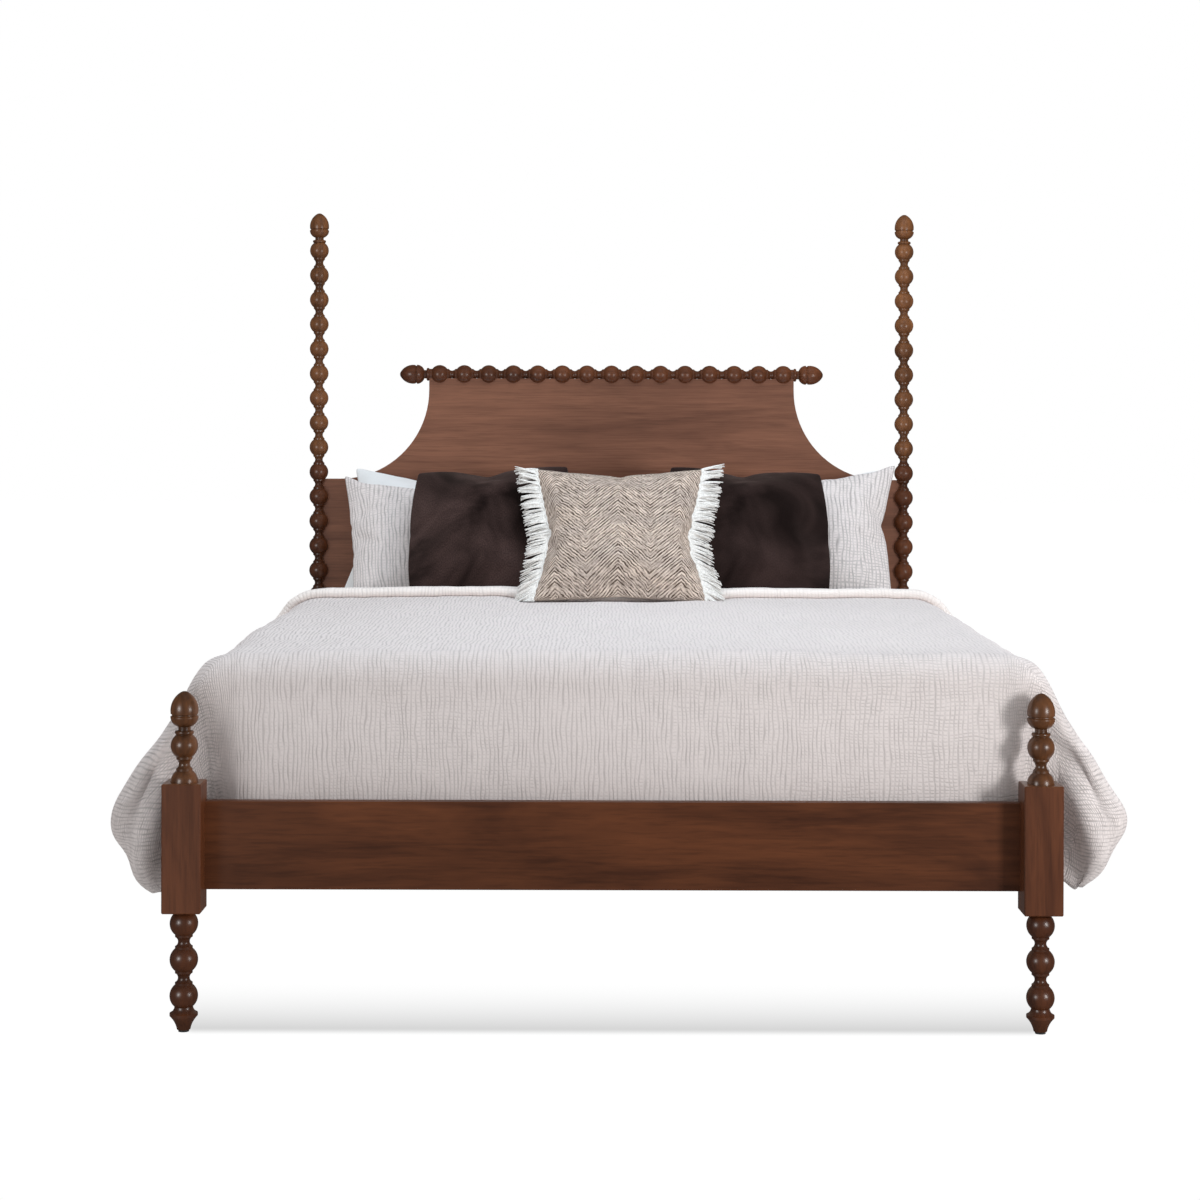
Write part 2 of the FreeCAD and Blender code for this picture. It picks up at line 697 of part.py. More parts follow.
def plate_recess(name, side, end, into_post):
    """Recess for a plate in a post's face or in a rail's end."""
    way = end if into_post else -end
    return block(name, f"{side} * post_x", f"{joint_y(end)} + {way} * plate_thickness / 2",
                 "rail_mid - plate_height / 2", "plate_width", "plate_thickness", "plate_height")


def hook_pocket(name, side, end):
    """Room behind a slotted plate for the hooks."""
    low, high = hook_bottoms()
    depth = "hook_reach + hook_clearance"
    return block(name, f"{side} * post_x", f"{joint_y(end)} + {end} * ({depth}) / 2",
                 f"{low} - hook_lip - hook_clearance", "hook_thickness + 2 * hook_clearance", depth,
                 f"{high} - {low} + hook_lip + hook_clearance + hook_slot_height")


def screw(name, length):
    """A countersunk wood screw that points down, with its head's face at the origin."""
    body = document.addObject("PartDesign::Body", name)
    turn_outline(body, name + "_turning", [
        ("0", f"-{length}"),
        ("screw_radius", f"screw_radius - {length}"),
        ("screw_radius", "-screw_head_height"),
        ("screw_head_radius", "0"),
        ("0", "0"),
    ])
    return body


def screw_set(name, length, seats):
    """Copies of one screw: each seat is a position and the way the screw points."""
    pattern = screw(name + "_pattern", length)
    copies = []
    for number, (x, y, z, way) in enumerate(seats, start=1):
        copy = document.addObject("App::Link", "%s_%d" % (name, number))
        copy.LinkedObject = pattern
        copy.LinkTransform = False
        copy.Placement = Placement(Vector(), Rotation(Vector(0, 0, -1), Vector(*way)))
        copies.append(place(copy, x, y, z))
    return group(name, copies)


def plate_screw_seats(into_post):
    """Two screws in each plate, driven into the post or into the rail."""
    for side in SIDES.values():
        for end in ENDS.values():
            for rise in (-1, 1):
                z = f"rail_mid + {rise} * plate_screw_rise"
                yield (f"{side} * post_x", joint_y(end), z, (0, end if into_post else -end, 0))


def panel_screw_seats():
    """Screws through the panel's edges from behind, each into one of the post's balls."""
    balls = int(value("(panel_shoulder_height - block_top) / bobbin_pitch"))
    for side in SIDES.values():
        for ball in range(1, balls + 1, int(value("panel_screw_bobbin_step"))):
            z = f"block_top + {ball} * bobbin_pitch"
            yield (f"{side} * (post_x - panel_screw_inset)", "headboard_y + panel_thickness", z, (0, -1, 0))


def ledger_screw_seats():
    """Screws along each ledger, driven outwards into its rail."""
    count = int(value("ledger_screw_count"))
    for side in SIDES.values():
        for number in range(count):
            x = f"{side} * (rail_inner_x - ledger_width)"
            y = f"middle_y + (ledger_length - 2 * ledger_screw_inset) * ({number} / ({count} - 1) - 0.5)"
            yield (x, y, "ledger_bottom + ledger_height / 2", (side, 0, 0))


def slat_y(number):
    """Middle of a slat, counted from the foot."""
    return f"mattress_y + ({number} + 0.5 - slat_count / 2) * mattress_length / slat_count"


def slat_screw_seats():
    """A screw through each end of each slat into the ledgers."""
    for side in SIDES.values():
        for number in range(int(value("slat_count"))):
            yield (f"{side} * ledger_x", slat_y(number), "foundation_bottom", (0, 0, -1))


def crest_dowels():
    """Dowels that hold the crest rail on the panel, each in the middle of a ball."""
    count = int(value("dowel_count"))
    for number in range(count):
        x = f"({number} - ({count} - 1) / 2) * dowel_bobbin_step * bobbin_pitch"
        yield rod("dowel_%d" % number, x, "panel_y", "panel_top - dowel_length / 2", "dowel_radius",
                  "dowel_length")


def pole_studs():
    """Studs that screw the poles to the head posts."""
    for label, side in SIDES.items():
        yield rod("stud_" + label, f"{side} * post_x", "head_y", "post_joint - stud_length / 2",
                  "stud_radius", "stud_length")


def leg_glides():
    """A glide with its nail under each leg."""
    for side in SIDES.values():
        for y in ("foot_y", "head_y"):
            body = document.addObject("PartDesign::Body", "glide")
            top = "glide_thickness + glide_nail_length"
            turn_outline(body, "glide_turning", [
                ("0", "0"),
                ("glide_radius", "0"),
                ("glide_radius", "glide_thickness"),
                ("glide_nail_radius", "glide_thickness"),
                ("glide_nail_radius", top),
                ("0", top),
            ])
            yield place(body, f"{side} * post_x", y)


def padded_block(name, width, length, bottom, height, edge_radius, corner_radius):
    """A foundation or a mattress: a block with rounded corners and edges."""
    body = document.addObject("PartDesign::Body", name)
    half = f"({length}) / 2"
    board = pad_outline(body, name + "_block", "XY_Plane", height,
                        rectangle(f"({width}) / 2", f"-{half}", half), lift=bottom)
    corners = ease_edges(body, board, "Fillet", corner_radius, lambda edge: runs_along(edge, Vector(0, 0, 1)))
    ease_edges(body, corners, "Fillet", edge_radius,
               lambda edge: edge.BoundBox.ZLength < edge.BoundBox.DiagonalLength * PARALLEL_SHARE)
    return place(body, 0, "mattress_y")


def shaped(name, shape):
    """A document object for a shape that no feature makes."""
    feature = document.addObject("Part::Feature", name)
    feature.Shape = shape
    return feature


def through(*points):
    """An arc through three points."""
    return Part.Arc(*points).toShape()


def straight(start, end):
    """A straight edge."""
    return Part.LineSegment(start, end).toShape()


def edges_through(points):
    """Edges between every second point: arcs through the points between, or lines where there is none."""
    return [straight(start, end) if middle is None else through(start, middle, end)
            for start, middle, end in zip(points[::2], points[1::2], points[2::2])]


def lines_through(points):
    """Straight edges from point to point."""
    return [straight(start, end) for start, end in zip(points, points[1:])]


def bowed(start, end, share):
    """The middle of an arc that bows away from the bed by a share of its length."""
    chord = end - start
    return (start + end) / 2 + Vector(-chord.z, 0, chord.x) * share


def both_sides(right, middle):
    """Points from the left hem over the middle to the right hem, from those of the right half."""
    left = [Vector(-point.x, point.y, point.z) for point in reversed(right)]
    return left + middle + right


def duvet_line(y, flare_share, drop_share, lowered, inset):
    """Points across the duvet's right half at one place, from its top to its hem."""
    top = value("duvet_top") - lowered - inset
    side = value("duvet_side_x") - lowered * TUCK_INSET_SHARE - inset
    edge = value("duvet_edge_round") - inset
    bend = edge * (1 - math.sqrt(0.5))
    curl, fall = value("duvet_hem_curl"), value("duvet_hem_fall")
    across = Vector(-fall, 0, curl).normalize()
    start = Vector(side - edge, y, top)
    turn = Vector(side - bend, y, top - bend)
    end = Vector(side, y, top - edge)
    widest = Vector(side + value("duvet_flare") * flare_share, y,
                    value("duvet_top") - value("duvet_drop") * drop_share)
    hem = widest + Vector(inset, 0, 0) - Vector(curl, 0, fall) + across * inset
    return [start, turn, end, bowed(end, widest, SIDE_BOW_SHARE), widest,
            bowed(widest, hem, HEM_BOW_SHARE), hem]


def duvet_section(y, flare_share, drop_share, raised):
    """A closed outline across the duvet: its outside, its hems and its inside."""
    outside = duvet_line(y, flare_share, drop_share, 0, -raised)
    inside = duvet_line(y, flare_share, drop_share, 0, value("duvet_thickness"))
    crest = Vector(0, y, outside[0].z + value("duvet_crown"))
    outer = both_sides(outside, [crest])
    inner = both_sides(inside, [None])
    inner.reverse()
    return Part.Wire(edges_through(outer) + [straight(outer[-1], inner[0])] + edges_through(inner)
                     + [straight(inner[-1], outer[0])])


def tuck_section(depth_share, round_share):
    """A filled outline across the tucked foot end, stepped round the side rails."""
    thickness = value("duvet_thickness")
    y = value("duvet_foot_y") + thickness * depth_share
    lowered = value("duvet_foot_round") * round_share
    outside = duvet_line(y, FOLD_FLARE_SHARES[0], FOLD_DROP_SHARES[0], lowered, 0)
    inside = duvet_line(y, FOLD_FLARE_SHARES[0], FOLD_DROP_SHARES[0], lowered, thickness)
    crest = Vector(0, y, outside[0].z + value("duvet_crown"))
    clear_x = value("post_x + rail_thickness / 2 + duvet_rail_room")
    tuck_x = value("rail_inner_x - duvet_rail_room")
    step = value("rail_top + duvet_rail_room")
    notch = [Vector(tuck_x, y, value("rail_top - duvet_tuck")), Vector(tuck_x, y, step),
             Vector(clear_x, y, step), Vector(clear_x, y, inside[-1].z), inside[-1]]
    outer = both_sides(outside, [crest])
    lower = both_sides(notch, [])
    lower.reverse()
    return Part.Wire(edges_through(outer) + lines_through([outer[-1]] + lower + [outer[0]]))


def duvet_shape():
    """Duvet: tucked foot end, folded top and sides, and the turned-back head end, all in one."""
    first = value("duvet_foot_y + duvet_thickness")
    turn = value("turnback_y")
    last = value("duvet_head_y")
    tuck = [tuck_section(*shares) for shares in zip(TUCK_DEPTH_SHARES, TUCK_ROUND_SHARES)]
    folds = zip(FOLD_PLACE_SHARES, FOLD_FLARE_SHARES, FOLD_DROP_SHARES)
    shell = [duvet_section(first + (turn - first) * share, flare, drop, 0) for share, flare, drop in folds]
    back = [duvet_section(turn + (last - turn) * share, FOLD_FLARE_SHARES[-1], FOLD_DROP_SHARES[-1],
                          value("turnback_thickness") * raised)
            for share, raised in zip(TURN_PLACE_SHARES, TURN_RISE_SHARES)]
    lofts = [Part.makeLoft(sections, True) for sections in (tuck, shell, back)]
    return lofts[0].fuse(lofts[1:]).removeSplitter()


def drawn_in(kind, side):
    """Cylinder that draws in one side of a cushion."""
    width, height, thickness = (value(f"{kind}_{word}") for word in ("width", "height", "thickness"))
    dip = DRAW_IN_SHARE * height
    radius = ((height / 2) ** 2 + dip ** 2) / (2 * dip)
    start = Vector(side * (width / 2 - dip + radius), -thickness, 0)
    return Part.makeCylinder(radius, 2 * thickness, start, Vector(0, 1, 0))


def cushion_shape(kind):
    """Cushion upright about the origin: crowned faces, thin seams, edges drawn in between the corners."""
    width, height, thickness = (value(f"{kind}_{word}") for word in ("width", "height", "thickness"))
    seam = value("seam_thickness / 2")
    sections = []
    for station, crown, share in zip(STATION_SHARES, CROWN_SHARES, HEIGHT_SHARES):
        x = station * width / 2
        z = share * height / 2
        swell = seam + (thickness / 2 - seam) * crown
        front = [Vector(x, -seam, -z), Vector(x, -swell, 0), Vector(x, -seam, z)]
        back = [Vector(x, seam, z), Vector(x, swell, 0), Vector(x, seam, -z)]
        sections.append(Part.Wire(edges_through(front + [None] + back) + [straight(back[2], front[0])]))
    return Part.makeLoft(sections, True).cut([drawn_in(kind, side) for side in SIDES.values()])


def fringe_shape(side):
    """Fringe along one short side of the woven cushion."""
    reach = value("woven_width / 2 + fringe_length")
    thickness = value("fringe_thickness")
    height = value("woven_height") * FRINGE_HEIGHT_SHARE
    band = Part.makeBox(reach, thickness, height, Vector(min(side * reach, 0), -thickness / 2, -height / 2))
    return band.common(drawn_in("woven", side))


def leaned(item, kind, x, y, seat):
    """Lean a cushion back on its lower edge."""
    item.Placement = Placement(Vector(), Rotation(Vector(1, 0, 0), -value("lean")))
    bind(item, **{"Placement.Rotation.Angle": "-lean"})
    return place(item, f"{x} + bedding_shift", f"{y} + {kind}_height / 2 * sin(lean)",
                 f"{seat} + {kind}_height / 2 * cos(lean)")


def check_and_write():
    """Stop at any failed object or bad shape, then write each piece to its own file."""
    document.recompute()
    failed = [item.Label for item in document.Objects if "Invalid" in item.State or "Error" in item.State]
    bad = [item.Label for item in kept if item.Shape.isNull() or not item.Shape.isValid()]
    if failed or bad:
        raise RuntimeError("failed objects %s, bad shapes %s" % (failed, bad))
    os.makedirs("parts", exist_ok=True)
    for item in kept:
        item.Shape.exportStep("parts/%s.step" % item.Label)
        print(item.Label, len(item.Shape.Solids), "solids", round(item.Shape.Volume), "mm3")


def build_frame():
    """Posts, poles, rails, headboard, plates, slats and everything that fastens them."""
    studs = keep(group("studs", pole_studs()), "pole_studs")
    glides = keep(group("glides", leg_glides()), "leg_glides")
    dowels = keep(group("dowels", crest_dowels()), "crest_dowels")
    rail_screws = screw_set("rail_plate_screws", "plate_screw_length", plate_screw_seats(False))
    post_screws = screw_set("post_plate_screws", "plate_screw_length", plate_screw_seats(True))
    panel_screws = screw_set("panel_screws", "panel_screw_length", panel_screw_seats())
    ledger_screws = screw_set("ledger_screws", "ledger_screw_length", ledger_screw_seats())
    slat_screws = screw_set("slat_screws", "slat_screw_length", slat_screw_seats())
    for screws in (rail_screws, post_screws, panel_screws, ledger_screws, slat_screws):
        keep(screws, screws.Name)
    foot_rail_y = "foot_rail_inner_y - rail_thickness / 2"
    for label, side in SIDES.items():
        foot = cut(foot_post("foot_turning_" + label, side),
                   tenon_mortise("foot_mortise_" + label, side, foot_rail_y),
                   plate_recess("foot_recess_" + label, side, -1, True),
                   hook_pocket("foot_pocket_" + label, side, -1), glides, post_screws)
        keep(foot, "foot_post_" + label)
        rebate = panel_rebate("rebate_" + label, side)
        head = cut(head_post("head_turning_" + label, side),
                   tenon_mortise("head_mortise_" + label, side, "panel_y"), rebate,
                   plate_recess("head_recess_" + label, side, 1, True),
                   hook_pocket("head_pocket_" + label, side, 1), glides, post_screws, panel_screws, studs)
        keep(head, "head_post_" + label)
        keep(cut(head_pole("pole_" + label, side), studs, rebate, panel_screws), "head_pole_" + label)
        rail = cut(side_rail("side_board_" + label, side),
                   plate_recess("rail_foot_recess_" + label, side, -1, False),
                   plate_recess("rail_head_recess_" + label, side, 1, False), rail_screws, ledger_screws)
        keep(rail, "side_rail_" + label)
        ledger = block("ledger_board_" + label, f"{side} * ledger_x", "middle_y", "ledger_bottom",
                       "ledger_width", "ledger_length", "ledger_height")
        keep(cut(ledger, ledger_screws, slat_screws), "ledger_" + label)
        for end_label, end in ENDS.items():
            corner = end_label + "_" + label
            keep(cut(hook_plate("hooks_" + corner, side, end), rail_screws), "hook_plate_" + corner)
            keep(cut(slot_plate("slots_" + corner, side, end), post_screws), "slot_plate_" + corner)
    keep(cross_rail("foot_board", foot_rail_y), "foot_rail")
    keep(cross_rail("head_board", "panel_y"), "head_rail")
    keep(cut(headboard_panel(), panel_screws, dowels), "headboard_panel")
    keep(cut(crest_rail(), dowels), "crest_rail")
    for number in range(int(value("slat_count"))):
        slat = block("slat_board_%d" % number, 0, slat_y(number), "slat_bottom",
                     "2 * (rail_inner_x - slat_end_room)", "slat_width", "slat_thickness")
        keep(cut(slat, slat_screws), "slat_%d" % (number + 1))


def build_bedding():
    """Foundation, mattress, duvet, pillows and cushions."""
    keep(padded_block("base_block", "mattress_width - 2 * foundation_inset",
                      "mattress_length - 2 * foundation_inset", "foundation_bottom", "foundation_height",
                      "foundation_edge_radius", "mattress_corner_radius"), "foundation")
    keep(padded_block("mattress_block", "mattress_width", "mattress_length", "mattress_bottom",
                      "mattress_height", "mattress_edge_radius", "mattress_corner_radius"), "mattress")
    keep(shaped("duvet", duvet_shape()), "duvet")
    for label, side in SIDES.items():
        for name, kind in (("sleeping_pillow_", "sleeper"), ("sham_", "sham"), ("velvet_cushion_", "velvet")):
            cushion = shaped(name + label, cushion_shape(kind))
            spacing = "velvet_spacing" if kind == "velvet" else "sham_spacing"
            keep(leaned(cushion, kind, f"{side} * {spacing} / 2", f"{kind}_y", "pillow_seat"), name + label)
        fringe = shaped("fringe_" + label, fringe_shape(side))
        keep(leaned(fringe, "woven", "0", "woven_y", "woven_seat"), "fringe_" + label)
    woven = shaped("woven_cushion", cushion_shape("woven"))
    keep(leaned(woven, "woven", "0", "woven_y", "woven_seat"), "woven_cushion")


fill_sheet()
build_frame()
build_bedding()
check_and_write()
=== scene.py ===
import math
from typing import NamedTuple

import bpy
import numpy as np
from bpy.props import FloatProperty, FloatVectorProperty, IntProperty, PointerProperty
from mathutils import Matrix, Vector


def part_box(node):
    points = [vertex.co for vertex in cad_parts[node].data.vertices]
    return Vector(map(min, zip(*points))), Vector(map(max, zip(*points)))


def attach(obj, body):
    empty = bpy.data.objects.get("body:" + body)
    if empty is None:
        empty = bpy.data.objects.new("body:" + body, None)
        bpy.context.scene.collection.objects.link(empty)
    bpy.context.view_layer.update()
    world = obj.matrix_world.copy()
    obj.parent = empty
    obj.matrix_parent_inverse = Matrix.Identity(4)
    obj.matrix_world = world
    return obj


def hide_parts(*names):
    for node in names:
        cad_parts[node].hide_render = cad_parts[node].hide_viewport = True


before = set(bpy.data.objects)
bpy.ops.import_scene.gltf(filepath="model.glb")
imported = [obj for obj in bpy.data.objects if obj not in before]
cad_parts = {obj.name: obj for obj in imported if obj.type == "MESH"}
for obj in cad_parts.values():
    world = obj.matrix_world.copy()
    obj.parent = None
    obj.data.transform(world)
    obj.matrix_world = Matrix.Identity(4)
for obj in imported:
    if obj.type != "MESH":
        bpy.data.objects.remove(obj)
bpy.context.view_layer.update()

bl_info = {
    "name": "Bobbin bed",
    "version": (1, 0, 0),
    "blender": (4, 5, 0),
    "location": "View3D > Sidebar > Bed",
    "description": "Dresses a bobbin-turned bed: frame finishes, mattress, duvet, pillows and cushions",
    "category": "Object",
}


def corners(node):
    """A node's lowest and highest corners."""
    return [np.array(corner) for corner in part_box(node)]


def middle(node):
    """The middle of a node's box."""
    return sum(corners(node)) / 2


def pair(name):
    """The names of a left and a right node."""
    return [f"{name}_{side}" for side in SIDES]


ROOT = "bed_frame"
WOVEN_BODY = "woven_cushion_body"
SIDES = {"left": -1, "right": 1}
TINY = 1e-9

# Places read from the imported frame, in metres as all lengths here.
MATTRESS_LOW, MATTRESS_HIGH = corners("mattress")
DUVET_LOW, DUVET_HIGH = corners("duvet")
PANEL_FRONT = corners("headboard_panel")[0][1]
POST_X, FOOT_POST_Y = middle("foot_post_right")[:2]
HEAD_POST_Y = middle("head_pole_right")[1]
CREST_Y, CREST_Z = middle("crest_rail")[1:]
RAIL_LOW, RAIL_TOP = (corner[2] for corner in corners("foot_rail"))
BLOCK_PAST_RAIL = 0.038
BLOCK_LOW, BLOCK_TOP = RAIL_LOW - BLOCK_PAST_RAIL, RAIL_TOP + BLOCK_PAST_RAIL

# The cushions' lean, and the room left between pieces that rest on each other.
LEAN = math.radians(36)
REST_GAP = 0.0008


def colour_setting(name, description, *default):
    """A colour that a user can set."""
    return FloatVectorProperty(name=name, description=description, default=default, subtype="COLOR")


def length_setting(name, description, default):
    """A length that a user can set."""
    return FloatProperty(name=name, description=description, default=default, unit="LENGTH")


class BedWoodSettings(bpy.types.PropertyGroup):
    """Colours of the wood and the hardware."""
    stained_dark: colour_setting("Stain, dark", "Darkest tone of rails and posts", 0.063, 0.0186, 0.0072)
    stained_light: colour_setting("Stain, light", "Lightest tone of rails and posts", 0.153, 0.046, 0.0152)
    golden_dark: colour_setting("Golden, dark", "Darkest tone of the head poles", 0.083, 0.0300, 0.0107)
    golden_light: colour_setting("Golden, light", "Lightest tone of the head poles", 0.282, 0.105, 0.0335)
    panel_dark: colour_setting("Panel, dark", "Darkest tone of the headboard panel", 0.152, 0.0605, 0.0355)
    panel_light: colour_setting("Panel, light", "Lightest tone of the headboard panel", 0.27, 0.114, 0.066)
    plain_dark: colour_setting("Plain wood, dark", "Darker grain of the bare slats", 0.4, 0.25, 0.12)
    plain_light: colour_setting("Plain wood, light", "Lighter grain of the bare slats", 0.62, 0.44, 0.26)
    steel: colour_setting("Steel", "Zinc-plated plates, screws and studs", 0.5, 0.5, 0.51)


class BedClothSettings(bpy.types.PropertyGroup):
    """Colours and forms of the bedding."""
    gauze: colour_setting("Gauze", "Duvet and shams", 0.78, 0.713, 0.696)
    lining: colour_setting("Lining", "Reverse of the duvet, seen where it turns back", 0.92, 0.845, 0.805)
    cotton: colour_setting("Cotton", "Sleeping pillows", 0.86, 0.86, 0.86)
    velvet: colour_setting("Velvet", "Dark cushions", 0.0145, 0.0088, 0.0080)
    weave_dark: colour_setting("Weave, dark", "Brown yarn of the woven cushion", 0.088, 0.060, 0.046)
    weave_light: colour_setting("Weave, light", "Cream yarn of the woven cushion", 0.80, 0.685, 0.605)
    fringe: colour_setting("Fringe", "Ivory yarn of fringe and edging", 0.9, 0.88, 0.85)
    duvet_thickness: length_setting("Duvet thickness", "Thickness of one layer", 0.026)
    shoulder_round: length_setting("Shoulder round", "Radius where the duvet turns down", 0.086)
    foot_round: length_setting("Foot round", "Radius where the duvet turns down at the foot", 0.056)
    strands: IntProperty(name="Strands", description="Yarns in each fringe", default=360)


class BedStageSettings(bpy.types.PropertyGroup):
    """Camera and lights."""
    camera_y: length_setting("Camera place", "Camera's place along the bed", -5.589)
    camera_z: length_setting("Camera height", "Camera's height over the floor", 1.134)
    focal_length: FloatProperty(name="Focal length", description="Focal length in millimetres", default=72.8)
    right_light: FloatProperty(name="Right light", description="Softbox on the right, in watts", default=50)
    left_light: FloatProperty(name="Left light", description="Softbox on the left, in watts", default=9.5)
    glint_light: FloatProperty(name="Glint light", description="Softbox seen only in gloss, in watts",
                               default=90)
    top_light: FloatProperty(name="Top light", description="Softbox overhead, in watts", default=57)
    sky: FloatProperty(name="Room light", description="Strength of the white room", default=0.57)


class Shader:
    """A material's node tree, with short ways to add and join nodes."""

    def __init__(self, name):
        self.material = bpy.data.materials.new(name)
        self.material.use_nodes = True
        self.tree = self.material.node_tree
        self.base = self.tree.nodes["Principled BSDF"]

    def add(self, kind, inputs=None, **settings):
        """Add a node and set or join its inputs."""
        item = self.tree.nodes.new("ShaderNode" + kind)
        for key, setting in settings.items():
            setattr(item, key, setting)
        for key, given in (inputs or {}).items():
            self.join(item.inputs[key], given)
        return item

    def join(self, socket, given):
        """Set a socket to a constant, or link it to another socket."""
        if isinstance(given, bpy.types.NodeSocket):
            self.tree.links.new(given, socket)
        else:
            socket.default_value = given

    def place(self, source, scale, offset=(0, 0, 0)):
        """Object or UV coordinates, scaled and moved. One number scales all of them."""
        scale = (scale,) * 3 if isinstance(scale, (int, float)) else scale
        start = self.add("TexCoord").outputs[source]
        return self.add("Mapping", {"Vector": start, "Scale": scale, "Location": offset}).outputs[0]

    def parts(self, source):
        """Object or UV coordinates, each by itself."""
        return self.add("SeparateXYZ", {"Vector": self.add("TexCoord").outputs[source]}).outputs

    def noise(self, where, detail=2.0, roughness=0.55, distortion=0.0):
        """Noise between 0 and 1."""
        return self.add("TexNoise", {"Vector": where, "Scale": 1.0, "Detail": detail, "Roughness": roughness,
                                     "Distortion": distortion}).outputs["Fac"]

    def span(self, value, low, high, first=0.0, last=1.0, kind="LINEAR"):
        """A value's way from low to high, turned into one from first to last."""
        return self.add("MapRange", {"Value": value, "From Min": low, "From Max": high, "To Min": first,
                                     "To Max": last}, interpolation_type=kind).outputs[0]

    def ramp(self, value, *stops):
        """Grey or colour stops over a value."""
        item = self.add("ValToRGB", {"Fac": value})
        elements = item.color_ramp.elements
        while len(elements) < len(stops):
            elements.new(0.5)
        for element, (position, colour) in zip(elements, stops):
            element.position = position
            grey = (colour,) * 3 if isinstance(colour, (int, float)) else tuple(colour)
            element.color = grey + (1,)
        return item.outputs["Color"]

    def math(self, operation, *values):
        """Arithmetic on values."""
        item = self.add("Math", operation=operation)
        for socket, given in zip(item.inputs, values):
            self.join(socket, given)
        return item.outputs[0]

    def plus(self, one, two):
        """The sum of two values."""
        return self.math("ADD", one, two)

    def minus(self, one, two):
        """The difference of two values."""
        return self.math("SUBTRACT", one, two)

    def times(self, one, two, more=0.0):
        """The product of two values, with more added."""
        return self.math("MULTIPLY_ADD", one, two, more)

    def mix(self, first, second, factor=0.5, blend="MIX"):
        """Mix two colours."""
        item = self.add("Mix", data_type="RGBA", blend_type=blend)
        colours = [socket for socket in item.inputs if socket.type == "RGBA"]
        self.join(item.inputs[0], factor)
        self.join(colours[0], colour4(first))
        self.join(colours[1], colour4(second))
        return [socket for socket in item.outputs if socket.type == "RGBA"][0]

    def shade(self, colour, tone, share=1.0):
        """A colour made darker or lighter by a tone."""
        return self.mix(colour, tone, share, "MULTIPLY")

    def bump(self, height, distance, strength=1.0, under=None):
        """A bump of a given depth in metres."""
        inputs = {"Height": height, "Distance": distance, "Strength": strength}
        if under is not None:
            inputs["Normal"] = under
        return self.add("Bump", inputs).outputs[0]

    def finish(self, **sockets):
        """Set or join the shader's own sockets; underscores stand for spaces."""
        for key, given in sockets.items():
            self.join(self.base.inputs[key.replace("_", " ")], given)
        return self.material


def colour4(given):
    """A colour with its alpha, or a socket as it is."""
    if isinstance(given, bpy.types.NodeSocket):
        return given
    return tuple(given) + (1,) if len(given) == 3 else tuple(given)


def axis_distance(shader, centre):
    """Distance from the nearest of a set of parallel turned axes, which mirror each other about a middle.
    Centre gives the middle and the axes' distance from it for X, Y and Z, or None along the axes."""
    squares = []
    for part, place in zip(shader.parts("Object"), centre):
        if place is not None:
            from_middle = shader.math("ABSOLUTE", shader.minus(part, place[0]))
            offset = shader.minus(from_middle, place[1])
            squares.append(shader.times(offset, offset))
    return shader.math("SQRT", shader.plus(*squares))


def grain_tone(shader, grain, dark, light):
    """Colour of the grain between its darkest and lightest tone."""
    between = [(one + two) / 2 for one, two in zip(dark, light)]
    return shader.ramp(grain, (0.34, dark), (0.5, between), (0.67, light))


def finer(stretch, along, across):
    """A grain's stretch made finer along the grain and across it."""
    return [part * (along if part == min(stretch) else across) for part in stretch]


# How thick the turned wood is, from its axis, in a cove and on a bobbin; painted shade fades out between them.
COVE_RADIUS, BOBBIN_RADIUS = 0.011, 0.0235
# The lengths over which a post's tone changes, at its block's top and under its block, where its legs' painted
# shade begins.
TONE_BELOW, TONE_ABOVE, LEG_FADE = 0.003, 0.001, 0.012


def wood(name, stretch, tones, roughness, centre=None, upper=None, shine=0.3):
    """Stained wood with its grain along the least stretch, with painted shade in its turned hollows
    and on a post's legs. Upper gives the tones over a post's block."""
    shader = Shader(name)
    figure = shader.noise(shader.place("Object", stretch), 4.0, 0.6, 0.9)
    lines = shader.noise(shader.place("Object", finer(stretch, 2, 8)), 3.0, 0.6, 0.4)
    pores = shader.noise(shader.place("Object", finer(stretch, 7, 24)))
    clouds = shader.noise(shader.place("Object", 2.3))
    grain = shader.times(figure, 0.68, shader.times(lines, 0.32))
    colour = grain_tone(shader, grain, *tones)
    if centre and centre[2] is None:
        height = shader.parts("Object")[2]
        if upper:
            share = shader.span(height, BLOCK_TOP - TONE_BELOW, BLOCK_TOP + TONE_ABOVE)
            colour = shader.mix(colour, grain_tone(shader, grain, *upper), share)
        # Painted shade: a post's legs under the block are darker, at 0.86 of the tone; a foot post is lighter,
        # at 1.24, from its block up.
        painted_leg_shade = shader.span(height, BLOCK_LOW - LEG_FADE, BLOCK_LOW, 0.86, 1.24 if upper else 1.0)
        colour = shader.shade(colour, painted_leg_shade)
    colour = shader.shade(colour, shader.ramp(pores, (0.36, 0.6), (0.5, 1.0)), 0.4)
    colour = shader.shade(colour, shader.ramp(clouds, (0.3, 0.8), (0.7, 1.16)), 0.7)
    if centre:
        # Painted shade: the turned hollows darken towards the axis, down to 0.7 of the tone, where little light
        # falls.
        painted_cove_shade = shader.span(axis_distance(shader, centre), COVE_RADIUS, BOBBIN_RADIUS, 0.7)
        colour = shader.shade(colour, painted_cove_shade)
    gloss = shader.span(grain, 0, 1, roughness - 0.05, roughness + 0.07)
    bump = shader.bump(pores, 0.0001, 0.4)
    return shader.finish(Base_Color=colour, Roughness=gloss, Normal=bump, Specular_IOR_Level=shine)


